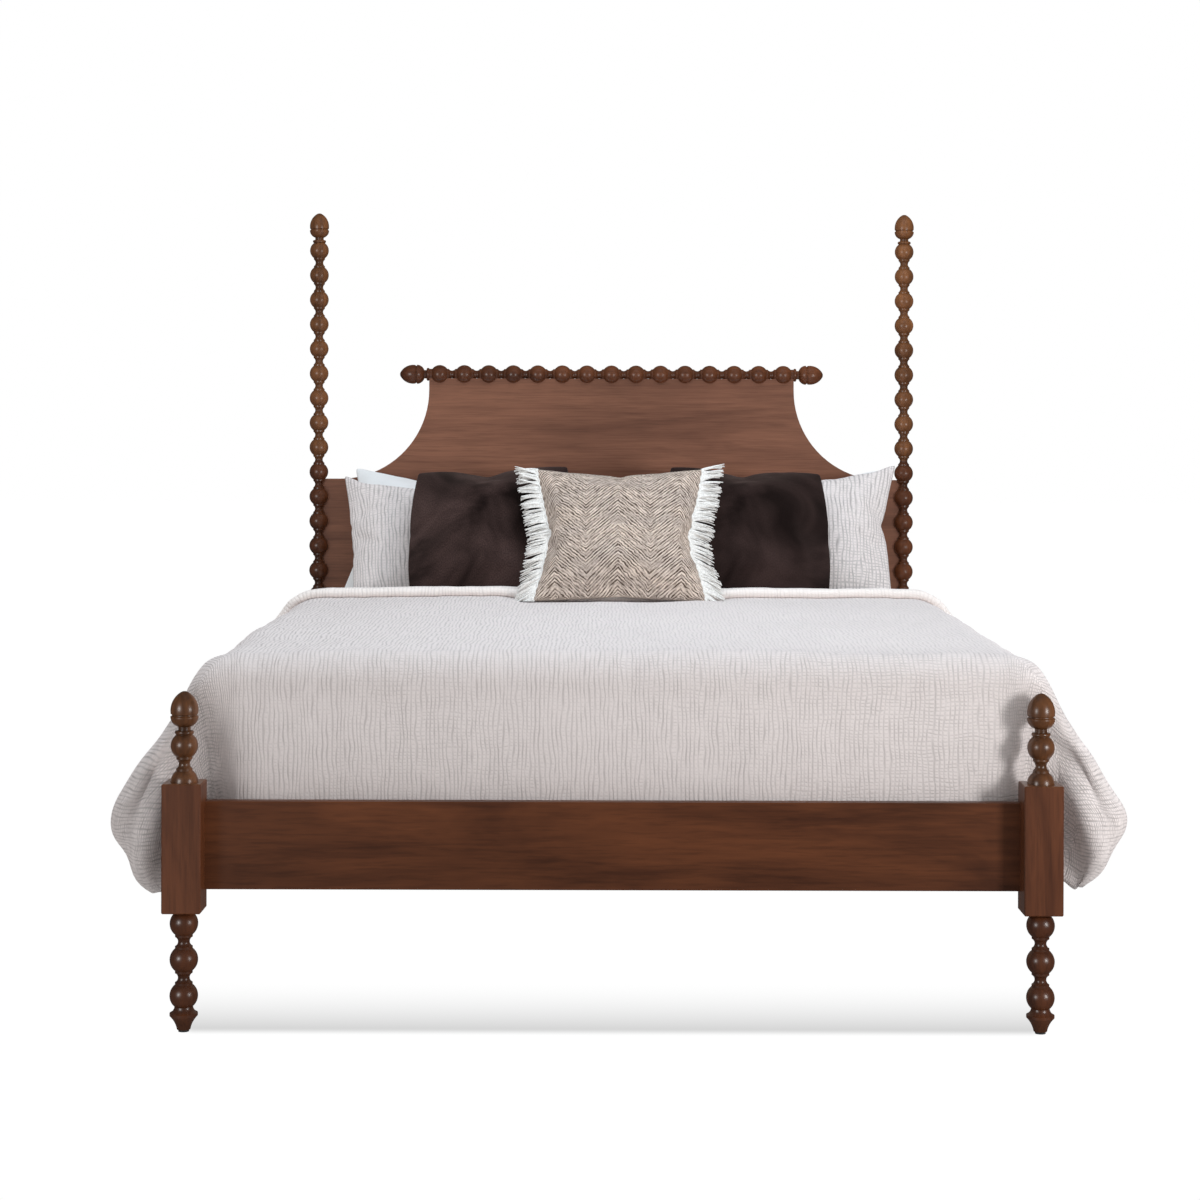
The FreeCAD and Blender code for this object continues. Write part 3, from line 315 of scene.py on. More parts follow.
def pleats(shader, value, pitch, scale, offset):
    """Parallel pleats that sway, come and go: 1 in a valley, 0 on a ridge."""
    sway = shader.noise(shader.place("UV", scale, offset))
    phase = shader.times(value, 2 * math.pi / pitch, shader.times(sway, 16.0))
    wave = shader.times(shader.math("SINE", phase), 0.5, 0.5)
    patches = shader.noise(shader.place("UV", [2.7 * part for part in scale], offset), 1.0)
    strength = shader.ramp(patches, (0.3, 0.38), (0.66, 0.95))
    return shader.times(shader.math("POWER", wave, 2.2), strength)


# How far from the bed's middle, along the cloth, the duvet begins to hang and hangs wholly.
HANG_FROM, HANG_TO = 0.74, 0.86
# How soon its lining begins past the turn, and how far before and past the foot's edge its crinkle changes.
LINING_FADE, CRINKLE_BEFORE, CRINKLE_PAST = 0.004, 0.05, 0.15


def gauze(name, colour, pitch, depth, edge=None, turn=None, lining=None):
    """Crinkled cotton gauze: thin lengthwise pleats, crossed by others, deepest where it hangs, with painted
    shade in their valleys that depth makes darker. Where it hangs its tone is lifted as painted light. It is
    smoother past an edge, with a band of painted shade before it, and shows its lining past a turn."""
    shader = Shader(name)
    across, along = shader.parts("UV")[:2]
    lengthwise = pleats(shader, across, pitch, (22, 9, 1), (0, 0, 0))
    crosswise = pleats(shader, along, 0.84 * pitch, (13, 22, 1), (1.7, 8.2, 0))
    patches = shader.times(across, 0.28, shader.noise(shader.place("UV", 2.2)))
    hanging = shader.span(shader.math("ABSOLUTE", across), HANG_FROM, HANG_TO)
    waffle = shader.math("MAXIMUM", shader.ramp(patches, (0.42, 0.35), (0.68, 0.85)), hanging)
    valley = shader.math("MAXIMUM", lengthwise, shader.times(crosswise, waffle))
    fuzz = shader.noise(shader.place("UV", (330, 160, 1)), 1.0)
    height = shader.minus(shader.times(fuzz, 0.35), valley)
    depth = shader.times(hanging, 0.26, depth)
    tone = colour
    if edge is not None:
        turned = shader.span(along, turn, turn + LINING_FADE)
        tone = shader.mix(colour, lining, turned)
        lying = shader.minus(1.0, hanging)
        crinkled = shader.times(shader.span(across, 0.2, -0.6, 0.0, 0.68), lying, 0.72)
        flat = shader.span(along, edge - CRINKLE_BEFORE, edge + CRINKLE_PAST, 1.0, crinkled)
        depth = shader.times(shader.times(depth, flat), shader.times(turned, -0.5, 1.0))
        # Painted shade: a band up to 0.07 darker across the top just before the foot's edge, where the duvet
        # turns down.
        fold = shader.ramp(along, (edge - 0.12, 1.0), (edge - 0.045, 0.93), (edge + 0.06, 1.0))
        tone = shader.shade(tone, fold, lying)
    # Painted shade in the pleats' valleys, deeper where the cloth hangs; the hanging cloth is also lightened by
    # up to 0.12 as painted light.
    shadow = shader.span(height, -0.9, 0.2, shader.minus(1.0, depth))
    tone = shader.shade(tone, shader.times(shadow, shader.times(hanging, 0.12, 1.0)))
    bump = shader.bump(height, 0.0012, 0.7)
    return shader.finish(Base_Color=tone, Roughness=0.95, Normal=bump, Sheen_Weight=0.05, Sheen_Roughness=0.5,
                         Specular_IOR_Level=0.0)


def cotton(name, colour):
    """Smooth cotton with a fine weave and faint creases, with painted shade in the creases."""
    shader = Shader(name)
    weave = shader.noise(shader.place("Object", 420))
    creases = shader.noise(shader.place("Object", 9), 4.0, 0.6, 0.8)
    # Painted shade: the cloth is darker, down to 0.93, where the crease noise is low.
    tone = shader.shade(colour, shader.ramp(creases, (0.3, 0.93), (0.6, 1.0)))
    bump = shader.bump(weave, 0.0002, 0.5, shader.bump(creases, 0.006, 0.6))
    return shader.finish(Base_Color=tone, Roughness=0.85, Normal=bump, Sheen_Weight=0.1)


def velvet(name, colour, painted_sheen_and_pile):
    """Cotton velvet: dark pile with painted sheen in broad lighter patches, and a soft sheen at the edges."""
    shader = Shader(name)
    nap_and_painted_sheen = shader.noise(shader.place("UV", 4.6), 3.0, 0.6, 0.7)
    pile = shader.noise(shader.place("UV", (420, 240, 1)))
    dark = [0.6 * part for part in colour]
    light = [(1 + 2 * painted_sheen_and_pile) * part for part in colour]
    # Painted sheen: broad patches of the nap are lighter, up to 1 + 2 times the strength, as if they caught the
    # light.
    tone = shader.ramp(nap_and_painted_sheen, (0.36, dark), (0.66, light))
    tone = shader.shade(tone, shader.ramp(pile, (0.3, 1 - 0.2 * painted_sheen_and_pile), (0.7, 1 + 0.2 * painted_sheen_and_pile)))
    bump = shader.bump(pile, 0.001, 0.6, shader.bump(nap_and_painted_sheen, 0.008, 0.5))
    return shader.finish(Base_Color=tone, Roughness=0.95, Normal=bump, Sheen_Weight=0.3, Sheen_Roughness=0.45,
                         Sheen_Tint=(0.4, 0.31, 0.28, 1), Specular_IOR_Level=0.0)


# Width of one leg of the woven zigzag, and the pitch of its rows.
ZIGZAG_WIDTH, ZIGZAG_PITCH = 0.077, 0.0092


def herringbone(name, dark, light):
    """Slubby yarns in zigzag rows, brown and cream by turns."""
    shader = Shader(name)
    across, along = shader.parts("UV")[:2]
    slub = shader.noise(shader.place("UV", 60), 3.0)
    zigzag = shader.math("PINGPONG", shader.times(slub, 0.008, across), ZIGZAG_WIDTH)
    row = shader.times(slub, 0.006, shader.plus(along, zigzag))
    stripe = shader.math("SINE", shader.times(row, 2 * math.pi / ZIGZAG_PITCH))
    stripe = shader.times(stripe, 0.5, 0.5)
    thread = shader.add("CombineXYZ", {"X": shader.times(row, 215),
                                       "Y": shader.times(shader.minus(along, zigzag), 26)})
    lengths = shader.noise(thread.outputs[0])
    twist = shader.noise(shader.place("UV", 190))
    value = shader.times(stripe, 0.34, shader.times(twist, 0.4))
    value = shader.times(shader.minus(lengths, 0.5), 1.3, value)
    between = [0.48 * one + 0.52 * two for one, two in zip(dark, light)]
    tone = shader.ramp(value, (0.12, dark), (0.36, between), (0.66, light))
    dyed = shader.noise(shader.place("UV", (7, 16, 1)))
    tone = shader.shade(tone, shader.ramp(dyed, (0.35, (0.9, 0.88, 0.87)), (0.65, (1.06, 1.02, 0.98))))
    bump = shader.bump(value, 0.002, 0.9)
    return shader.finish(Base_Color=tone, Roughness=0.95, Normal=bump, Specular_IOR_Level=0.0,
                         Sheen_Weight=0.05)


def yarn(name, colour):
    """Twisted ivory yarn."""
    shader = Shader(name)
    strands = shader.noise(shader.place("Object", 260))
    tone = shader.shade(colour, shader.ramp(strands, (0.3, 0.78), (0.65, 1.05)))
    bump = shader.bump(strands, 0.0006, 0.6)
    return shader.finish(Base_Color=tone, Roughness=0.95, Normal=bump, Specular_IOR_Level=0.15)


def ticking(name, colour, stripe, pitch):
    """Plain woven ticking with thin woven lines."""
    shader = Shader(name)
    flat = shader.parts("Object")
    line = shader.math("SINE", shader.times(shader.plus(flat[0], flat[1]), 2 * math.pi / pitch))
    weave = shader.noise(shader.place("Object", 500))
    tone = shader.mix(colour, stripe, shader.ramp(line, (0.9, 0.0), (0.96, 1.0)))
    tone = shader.shade(tone, shader.ramp(weave, (0.3, 0.88), (0.7, 1.0)))
    return shader.finish(Base_Color=tone, Roughness=0.9, Normal=shader.bump(weave, 0.0003, 0.6),
                         Specular_IOR_Level=0.2)


def steel(name, colour):
    """Zinc plating with a faint spangle."""
    shader = Shader(name)
    spangle = shader.noise(shader.place("Object", 160))
    tone = shader.shade(colour, shader.ramp(spangle, (0.35, 0.8), (0.65, 1.1)))
    return shader.finish(Base_Color=tone, Roughness=shader.span(spangle, 0, 1, 0.28, 0.46), Metallic=1.0)


def nylon(name):
    """Moulded black nylon."""
    shader = Shader(name)
    grain = shader.noise(shader.place("Object", 900))
    tone = shader.ramp(grain, (0.3, 0.012), (0.7, 0.03))
    return shader.finish(Base_Color=tone, Roughness=0.55, Normal=shader.bump(grain, 0.0001, 0.5))


def dress(material, *nodes):
    """Put a material on CAD nodes."""
    for name in nodes:
        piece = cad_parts[name]
        piece.data.materials.clear()
        piece.data.materials.append(material)


def only(piece):
    """Make one object the only one selected."""
    if bpy.context.mode != "OBJECT":
        bpy.ops.object.mode_set(mode="OBJECT")
    bpy.ops.object.select_all(action="DESELECT")
    piece.select_set(True)
    bpy.context.view_layer.objects.active = piece


def start_piece(name, add, **form):
    """Add a primitive with nothing else selected, and name it."""
    bpy.ops.object.select_all(action="DESELECT")
    add(**form)
    piece = bpy.context.active_object
    piece.name = name
    return piece


def edit_all(piece, step, **form):
    """Run one edit-mode step on the whole of a piece."""
    only(piece)
    bpy.ops.object.mode_set(mode="EDIT")
    bpy.ops.mesh.select_all(action="SELECT")
    step(**form)
    bpy.ops.object.mode_set(mode="OBJECT")


def apply_modifiers(piece):
    """Apply all of a piece's modifiers in order."""
    only(piece)
    for name in [modifier.name for modifier in piece.modifiers]:
        bpy.ops.object.modifier_apply(modifier=name)


def points_of(piece):
    """Vertex places as an array."""
    flat = np.empty(len(piece.data.vertices) * 3)
    piece.data.vertices.foreach_get("co", flat)
    return flat.reshape(-1, 3)


def move_points(piece, points):
    """Write vertex places back."""
    piece.data.vertices.foreach_set("co", np.ascontiguousarray(points).ravel())
    piece.data.update()


def layered_grid(name, columns, rows):
    """A flat grid made a closed two-sided sheet. Returns the piece and each vertex's column, row and side."""
    piece = start_piece(name, bpy.ops.mesh.primitive_grid_add, x_subdivisions=columns, y_subdivisions=rows,
                        size=2)
    thickness = 0.1
    sheet = piece.modifiers.new("Sides", "SOLIDIFY")
    sheet.thickness = thickness
    sheet.offset = -1
    apply_modifiers(piece)
    points = points_of(piece)
    column = np.rint((points[:, 0] + 1) / 2 * columns).astype(int)
    row = np.rint((points[:, 1] + 1) / 2 * rows).astype(int)
    return piece, column, row, points[:, 2] > -thickness / 2


def set_uv(piece, across, along):
    """Write a UV map from one pair of lengths a vertex, in metres."""
    mesh = piece.data
    layer = mesh.uv_layers[0] if mesh.uv_layers else mesh.uv_layers.new(name="UVMap")
    loops = np.empty(len(mesh.loops), dtype=np.int32)
    mesh.loops.foreach_get("vertex_index", loops)
    places = np.column_stack((across[loops], along[loops]))
    layer.data.foreach_set("uv", places.astype(np.float32).ravel())


def finish_piece(piece, material, body, nodes):
    """Smooth a finished piece, give it its material, tie it to its body and hide the nodes it stands for."""
    only(piece)
    bpy.ops.object.shade_smooth()
    piece.data.materials.clear()
    piece.data.materials.append(material)
    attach(piece, body)
    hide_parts(*nodes)
    return piece


# Large primes that scatter a lattice's cells.
CELL_PRIMES = np.array((73856093, 19349663, 83492791))
SEED_PRIME, MIX_PRIME = 2654435761, 1274126177


def lattice_noise(points, scale, seed):
    """Smooth noise from -1 to 1 at many points, the same on every run."""
    place = points * scale + 100.0
    cell = np.floor(place).astype(np.int64)
    share = place - cell
    share = share * share * share * (share * (share * 6 - 15) + 10)
    total = np.zeros(len(points))
    for corner in np.ndindex(2, 2, 2):
        mixed = np.bitwise_xor.reduce((cell + np.array(corner)) * CELL_PRIMES, axis=1) ^ (seed * SEED_PRIME)
        mixed = (mixed ^ (mixed >> 13)) * MIX_PRIME
        value = ((mixed ^ (mixed >> 16)) & 65535) / 32767.5 - 1
        weight = np.prod(np.where(np.array(corner), share, 1 - share), axis=1)
        total += weight * value
    return total


def smooth_step(value, low, high):
    """A smooth rise from 0 at low to 1 at high."""
    share = np.clip((value - low) / (high - low), 0, 1)
    return share * share * (3 - 2 * share)


def lengths_along(points):
    """The length of a line of points up to each of them."""
    return np.concatenate(([0], np.cumsum(np.linalg.norm(np.diff(points, axis=0), axis=1))))


class Hang(NamedTuple):
    """How the duvet hangs at one place: how far its top reaches past the mattress, the degrees that its
    shoulder turns down, where its drape is widest, out and down from the shoulder, how softly it turns
    there, and where its hem is, out and down."""
    reach: float
    turn: float
    wide_out: float
    wide_down: float
    soft: float
    hem_out: float
    hem_down: float


# Each side of the duvet at the foot and at the head, and the seed of its folds.
HANGS = {
    -1: (Hang(-0.008, 54, 0.182, 0.243, 0.070, 0.086, 0.376),
         Hang(0.012, 44, 0.165, 0.190, 0.060, 0.090, 0.350)),
    1: (Hang(0.022, 56, 0.166, 0.228, 0.036, 0.083, 0.367),
        Hang(0.034, 42, 0.160, 0.190, 0.050, 0.090, 0.345)),
}
FOLD_SEEDS = {-1: 3, 1: 8}

# The duvet's lengths: its skirt from shoulder to hem, the height of its tucked edge, its slack round the
# mattress, its turn-back, the round of its foot corners, its crown and how deep the woven cushion sinks in.
SKIRT = 0.57
TUCK_BOTTOM = 0.374
TOP_GAP, SIDE_SLACK, CLOTH_GAP = 0.0006, 0.0146, 0.0004
TURN_BACK = 0.062
CORNER_ROUND = 0.062
CROWN = 0.006
DENT = 0.010

# The duvet's foot corners: where across the bed the foot end passes into the sides, and how wide and deep
# the cloth sinks in behind the posts.
CORNER_FROM, CORNER_TO = 0.775, 0.85
VALLEY_WIDTH, VALLEY_DEPTH = 0.056, 0.07

# The slots in the duvet's foot end where the side rails pass: from and to across, how far before the top's
# edge they begin, and the room over the rails.
SLOT_FROM, SLOT_TO = 0.776, 0.842
SLOT_BEFORE, SLOT_ROOM = 0.03, 0.016

# Rows of the duvet's mesh on the foot end, on the top and round its two turns, and its columns.
FOOT_ROWS, TOP_ROWS, TURN_ROWS, FOLD_ROWS = 34, 118, 9, 12
COLUMNS = 214


class DuvetForm:
    """The duvet's outer surface: a top, a skirt hanging on both sides and a foot end tucked in."""

    def __init__(self, settings):
        self.thickness = settings.duvet_thickness
        self.round = settings.shoulder_round
        self.top = MATTRESS_HIGH[2] + self.thickness + TOP_GAP
        self.edge_x = MATTRESS_HIGH[0] + self.thickness + SIDE_SLACK - self.round
        self.foot_y = DUVET_LOW[1] + CLOTH_GAP
        self.foot_round = settings.foot_round
        self.edge_y = self.foot_y + self.foot_round
        self.head_y = DUVET_HIGH[1]
        self.turn_y = self.head_y - TURN_BACK

    def folds(self, y, side):
        """How far the side's folds stand out at each place along the bed, about 1."""
        seed = FOLD_SEEDS[side]
        spots = np.column_stack((y, np.zeros_like(y), np.zeros_like(y)))
        calm = smooth_step(y, self.edge_y - 0.02, self.edge_y + 0.3)
        slow = lattice_noise(spots, 3.1, seed)
        quick = lattice_noise(spots, 6.7, seed + 1)
        return 1 + calm * (0.16 * slow + 0.1 * quick - 0.12)

    def shape(self, y, side):
        """The side's measures at each place along the bed."""
        share = smooth_step(y, self.edge_y, self.edge_y + 0.9)
        return Hang(*(foot + (head - foot) * share for foot, head in zip(*HANGS[side])))

    def hang(self, along, y, side):
        """Distance out from the top's edge and height, at a length down the side."""
        form, folds = self.shape(y, side), self.folds(y, side)
        angle = np.radians(form.turn)
        turn = np.minimum(along / self.round, angle)
        arc = np.stack((self.round * np.sin(turn), -self.round * (1 - np.cos(turn))))
        start = np.stack((self.round * np.sin(angle), -self.round * (1 - np.cos(angle))))
        wide = np.stack((self.round + form.wide_out * folds, -self.round - form.wide_down))
        hem = np.stack((self.round + form.hem_out * folds, -self.round - form.hem_down * (0.7 + 0.3 * folds)))
        upper, lower = wide - start, hem - wide
        upper_length, lower_length = np.hypot(*upper), np.hypot(*lower)
        down = np.clip((along - self.round * angle) / (SKIRT - self.round * angle), 0, 1)
        length = down * (upper_length + lower_length)
        before = wide - upper / upper_length * form.soft
        after = wide + lower / lower_length * form.soft
        bend = np.clip((length - upper_length + form.soft) / (2 * form.soft), 0, 1)
        curve = (1 - bend) ** 2 * before + 2 * bend * (1 - bend) * wide + bend ** 2 * after
        straight = np.where(length < upper_length, start + upper / upper_length * length,
                            wide + lower / lower_length * (length - upper_length))
        drape = np.where((bend > 0) & (bend < 1), curve, straight)
        out, drop = np.where(down > 0, drape, arc)
        return out, self.top + drop

    def hang_both(self, across, along, y):
        """The same on the side that each column belongs to."""
        left, right = self.hang(along, y, -1), self.hang(along, y, 1)
        return [np.where(across < 0, one, two) for one, two in zip(left, right)]

    def spread(self, across, y):
        """How much farther out each side reaches than the mattress alone would make it."""
        share = smooth_step(np.abs(across), 0.4, self.edge_x + 0.04)
        return share * np.where(across < 0, self.shape(y, -1).reach, self.shape(y, 1).reach)

    def front(self, down):
        """Distance out and height on the tucked foot end, for a share of its length."""
        arc = self.foot_round * math.pi / 2
        along = down * (arc + self.top - self.foot_round - TUCK_BOTTOM)
        turn = np.clip(along / arc, 0, 1) * math.pi / 2
        height = self.top - self.foot_round * (1 - np.cos(turn)) - np.clip(along - arc, 0, None)
        return self.foot_round * np.sin(turn), height

    def side_point(self, across, y):
        """A point on the top or on a side."""
        over = np.clip(np.abs(across) - self.edge_x, 0, None)
        out, height = self.hang_both(across, over, y)
        x = np.sign(across) * (np.minimum(np.abs(across), self.edge_x) + out + self.spread(across, y))
        return np.column_stack((x, y, height))

    def corner_point(self, across, down):
        """A point on the foot end: its middle drops straight, its corners turn into the sides."""
        over = np.clip(np.abs(across) - self.edge_x, 0, None) / SKIRT
        reach = np.maximum(np.maximum(over, down), TINY)
        turn = np.where(over >= down, 0.5 * down / reach, 1 - 0.5 * over / reach)
        start = np.full_like(across, self.edge_y)
        out, low = self.hang_both(across, reach * SKIRT, start)
        ahead, high = self.front(reach)
        bend = np.minimum(np.minimum(out, ahead), CORNER_ROUND)
        first, second, third = ahead - bend, bend * math.pi / 2, out - bend
        along = turn * (first + second + third)
        swing = np.clip((along - first) / np.maximum(bend, TINY), 0, math.pi / 2)
        x = out - bend * (1 - np.cos(swing)) - np.clip(along - first - second, 0, None)
        y = np.clip(along, 0, first) + bend * np.sin(swing)
        inner = 1 - smooth_step(self.edge_x + x, CORNER_FROM, CORNER_TO)
        height = low + (high - low) * inner
        flat = over <= 0
        ahead_flat, high_flat = self.front(down)
        x = np.where(flat, np.abs(across), self.edge_x + x)
        y = np.where(flat, ahead_flat, y)
        height = np.where(flat, high_flat, height)
        valley = np.exp(-((x - POST_X) / VALLEY_WIDTH) ** 2) * smooth_step(self.top - height, 0.05, 0.22)
        y = y - np.minimum(VALLEY_DEPTH * valley, 0.9 * y)
        x = x + self.spread(across, start)
        return np.column_stack((np.sign(across) * x, self.edge_y - y, height))


def duvet_rows(form):
    """Each row of the duvet: its place along the bed, how far down the foot end, how far it stands off."""
    rows = [(form.edge_y, 1 - step / FOOT_ROWS, 0.0) for step in range(FOOT_ROWS)]
    top = form.turn_y - form.edge_y
    rows += [(form.edge_y + top * step / TOP_ROWS, 0.0, 0.0) for step in range(TOP_ROWS)]
    rise, fold = 0.011, 0.0235
    for step in range(TURN_ROWS):
        angle = math.pi * (step / (TURN_ROWS - 1) - 0.5)
        rows.append((form.turn_y - rise * math.cos(angle), 0.0, rise + rise * math.sin(angle)))
    centre = form.head_y - fold
    rows += [(form.turn_y + (centre - form.turn_y) * step / 5, 0.0, 2 * rise) for step in range(1, 5)]
    for step in range(FOLD_ROWS):
        angle = math.pi / 2 - math.pi * 0.94 * step / (FOLD_ROWS - 1)
        rows.append((centre + fold * math.cos(angle), 0.0, 2 * rise - fold + fold * math.sin(angle)))
    return np.array(rows)


def duvet_bumps(points, down):
    """Soft unevenness of the filling: broad waves all over, slack ripples on the foot end."""
    broad = 0.0042 * lattice_noise(points, 4.2, 21) + 0.0022 * lattice_noise(points, 10.5, 22)
    small = 0.0011 * lattice_noise(points * np.array([1, 0.35, 0.35]), 34, 23)
    return broad * np.where(down > 0, 0.45, 1.0) + small


class BED_OT_frame_finishes(bpy.types.Operator):
    """Stain the turned posts, rails and headboard, and finish slats, plates, screws and glides"""
    bl_idname = "bed.frame_finishes"
    bl_label = "Frame finishes"

    def execute(self, context):
        tones = context.scene.bed_wood
        self.stain_frame(tones)
        plain = tones.plain_dark, tones.plain_light
        slats = [f"slat_{number}" for number in range(1, 6)]
        dress(wood("plain_slats", (1.6, 14, 14), plain, 0.7), *slats, "crest_dowels")
        dress(wood("plain_ledgers", (14, 1.6, 14), plain, 0.7), *pair("ledger"))
        plates = [name for plate in ("hook_plate", "slot_plate") for end in ("foot", "head")
                  for name in pair(f"{plate}_{end}")]
        dress(steel("zinc_plate", tones.steel), "pole_studs", "rail_plate_screws", "post_plate_screws",
              "panel_screws", "ledger_screws", "slat_screws", *plates)
        dress(nylon("glide_nylon"), "leg_glides")
        return {"FINISHED"}

    def stain_frame(self, tones):
        """Stain and polish what shows of the frame: the turned pieces glossy, rails and panel less so."""
        stain = tones.stained_dark, tones.stained_light
        golden = tones.golden_dark, tones.golden_light
        panel = tones.panel_dark, tones.panel_light
        crest = [[1.15 * part for part in tone] for tone in stain]
        finial = [[0.62 * part for part in tone] for tone in golden]
        ends = (FOOT_POST_Y + HEAD_POST_Y) / 2, (HEAD_POST_Y - FOOT_POST_Y) / 2
        upright, level = ((0, POST_X), ends, None), (None, (CREST_Y, 0), (CREST_Z, 0))
        turned, shine = 0.31, 0.5
        for node, name, tone, upper in (("foot_post", "foot_post_stain", stain, finial),
                                        ("head_post", "head_post_stain", stain, None),
                                        ("head_pole", "pole_stain", golden, None)):
            dress(wood(name, (13, 13, 2.0), tone, turned, upright, upper, shine), *pair(node))
        dress(wood("crest_stain", (2.0, 13, 13), crest, turned, level, None, shine), "crest_rail")
        dress(wood("rail_stain", (2.2, 10, 9), stain, 0.42, shine=0.2), "foot_rail", "head_rail")
        dress(wood("panel_stain", (1.9, 10, 18), panel, 0.5, shine=0.2), "headboard_panel")
        dress(wood("side_stain", (9, 1.3, 11), stain, 0.45), *pair("side_rail"))


def rounded_block(name, low, high, corner, edge, cuts):
    """A cube cut into small squares and rounded: upright corners and top and bottom edges."""
    piece = start_piece(name, bpy.ops.mesh.primitive_cube_add, size=2)
    edit_all(piece, bpy.ops.mesh.subdivide, number_cuts=cuts)
    share = points_of(piece)
    half = (high - low) / 2
    spread = np.sign(share) * (1 - (1 - np.abs(share)) ** 1.25)
    points = spread * half
    inner = np.clip(points, -(half - corner)[None, :], (half - corner)[None, :])
    flat = points[:, :2] - inner[:, :2]
    reach = np.abs(flat).max(axis=1)
    length = np.maximum(np.hypot(flat[:, 0], flat[:, 1]), TINY)
    points[:, :2] = inner[:, :2] + flat / length[:, None] * reach[:, None]
    centre = np.clip(points[:, 2], -(half[2] - edge), half[2] - edge)
    lift = np.abs(points[:, 2] - centre)
    outward = np.clip(reach - (corner - edge), 0, None)
    depth = np.maximum(lift, outward)
    size = np.maximum(np.hypot(lift, outward), TINY)
    points[:, 2] = centre + np.sign(points[:, 2]) * lift / size * depth
    pulled = np.where(outward > 0, (corner - edge + outward / size * depth) / np.maximum(reach, TINY), 1)
    points[:, :2] = inner[:, :2] + (points[:, :2] - inner[:, :2]) * pulled[:, None]
    return piece, points + (low + high) / 2, share


def piping(low, high, corner, height, inset, radius, steps=96, ring=0.1):
    """A piped seam round a block at one height, shaped from a ring."""
    half = (high - low)[:2] / 2 - inset
    path = []
    for number in range(steps):
        angle = 2 * math.pi * number / steps
        centre = np.sign([math.cos(angle + 1e-6), math.sin(angle + 1e-6)]) * (half - corner)
        path.append((high + low)[:2] / 2 + centre + corner * np.array([math.cos(angle), math.sin(angle)]))
    piece = start_piece("edge", bpy.ops.mesh.primitive_torus_add, major_segments=steps, minor_segments=8,
                        major_radius=1, minor_radius=ring)
    points = points_of(piece)
    angle = np.arctan2(points[:, 1], points[:, 0])
    out = (np.hypot(points[:, 0], points[:, 1]) - 1) / ring * radius
    index = np.rint(angle / (2 * math.pi) * steps).astype(int) % steps
    points[:, 2] = height + points[:, 2] / ring * radius
    points[:, :2] = np.array(path)[index] + np.column_stack((np.cos(angle), np.sin(angle))) * out[:, None]
    move_points(piece, points)
    return piece


def pipe_edges(piece, low, high, corner, drop, inset, radius):
    """Join piped seams to a block, as far under its top as over its bottom."""
    edges = [piping(low, high, corner, height, inset, radius) for height in (low[2] + drop, high[2] - drop)]
    only(piece)
    for edge in edges:
        edge.select_set(True)
    bpy.ops.object.join()


class BED_OT_mattress(bpy.types.Operator):
    """Quilted mattress on a plain covered foundation, both with piped edges"""
    bl_idname = "bed.mattress"
    bl_label = "Mattress and foundation"
    corner = 0.06
    quilt_pitch, quilt_depth = 0.17, 0.006
    side_fullness, side_limit, foundation_sag = 0.003, 0.002, 0.0025

    def execute(self, context):
        self.mattress()
        self.foundation()
        return {"FINISHED"}

    def mattress(self):
        """The mattress: quilted above and below, its sides slightly full."""
        low, high = MATTRESS_LOW, MATTRESS_HIGH
        piece, points, share = rounded_block("mattress_quilted", low, high, self.corner, edge=0.04, cuts=58)
        quilt = np.abs(np.sin((points[:, 0] + points[:, 1]) * math.pi / self.quilt_pitch)
                       * np.sin((points[:, 0] - points[:, 1]) * math.pi / self.quilt_pitch)) ** 0.5
        flat = smooth_step(np.abs(share[:, 2]), 0.97, 1.0)
        points[:, 2] -= np.sign(share[:, 2]) * flat * (1 - quilt) * self.quilt_depth
        sides = 1 - smooth_step(np.abs(share[:, 2]), 0.6, 0.95)
        bulge = self.side_fullness * np.cos(share[:, 2] * math.pi / 2) * sides
        points[:, :2] += np.sign(points[:, :2]) * (np.abs(share[:, :2]) > 0.999) * bulge[:, None]
        move_points(piece, np.clip(points, low - self.side_limit, high))
        pipe_edges(piece, low, high, self.corner, drop=0.036, inset=0.003, radius=0.005)
        finish_piece(piece, cotton("mattress_knit", (0.78, 0.77, 0.74)), ROOT, ["mattress"])

    def foundation(self):
        """The foundation: a box in ticking, slightly drawn in between its edges."""
        low, high = corners("foundation")
        piece, points, share = rounded_block("foundation_covered", low, high, self.corner, edge=0.012,
                                             cuts=34)
        sag = self.foundation_sag * lattice_noise(points, 7.0, 31) * (np.abs(share[:, 2]) < 0.9)
        points[:, :2] -= np.sign(points[:, :2]) * (np.abs(share[:, :2]) > 0.999) * np.abs(sag)[:, None]
        move_points(piece, points)
        pipe_edges(piece, low, high, self.corner, drop=0.011, inset=0.002, radius=0.004)
        material = ticking("foundation_ticking", (0.62, 0.6, 0.57), (0.36, 0.38, 0.42), 0.03)
        finish_piece(piece, material, ROOT, ["foundation"])


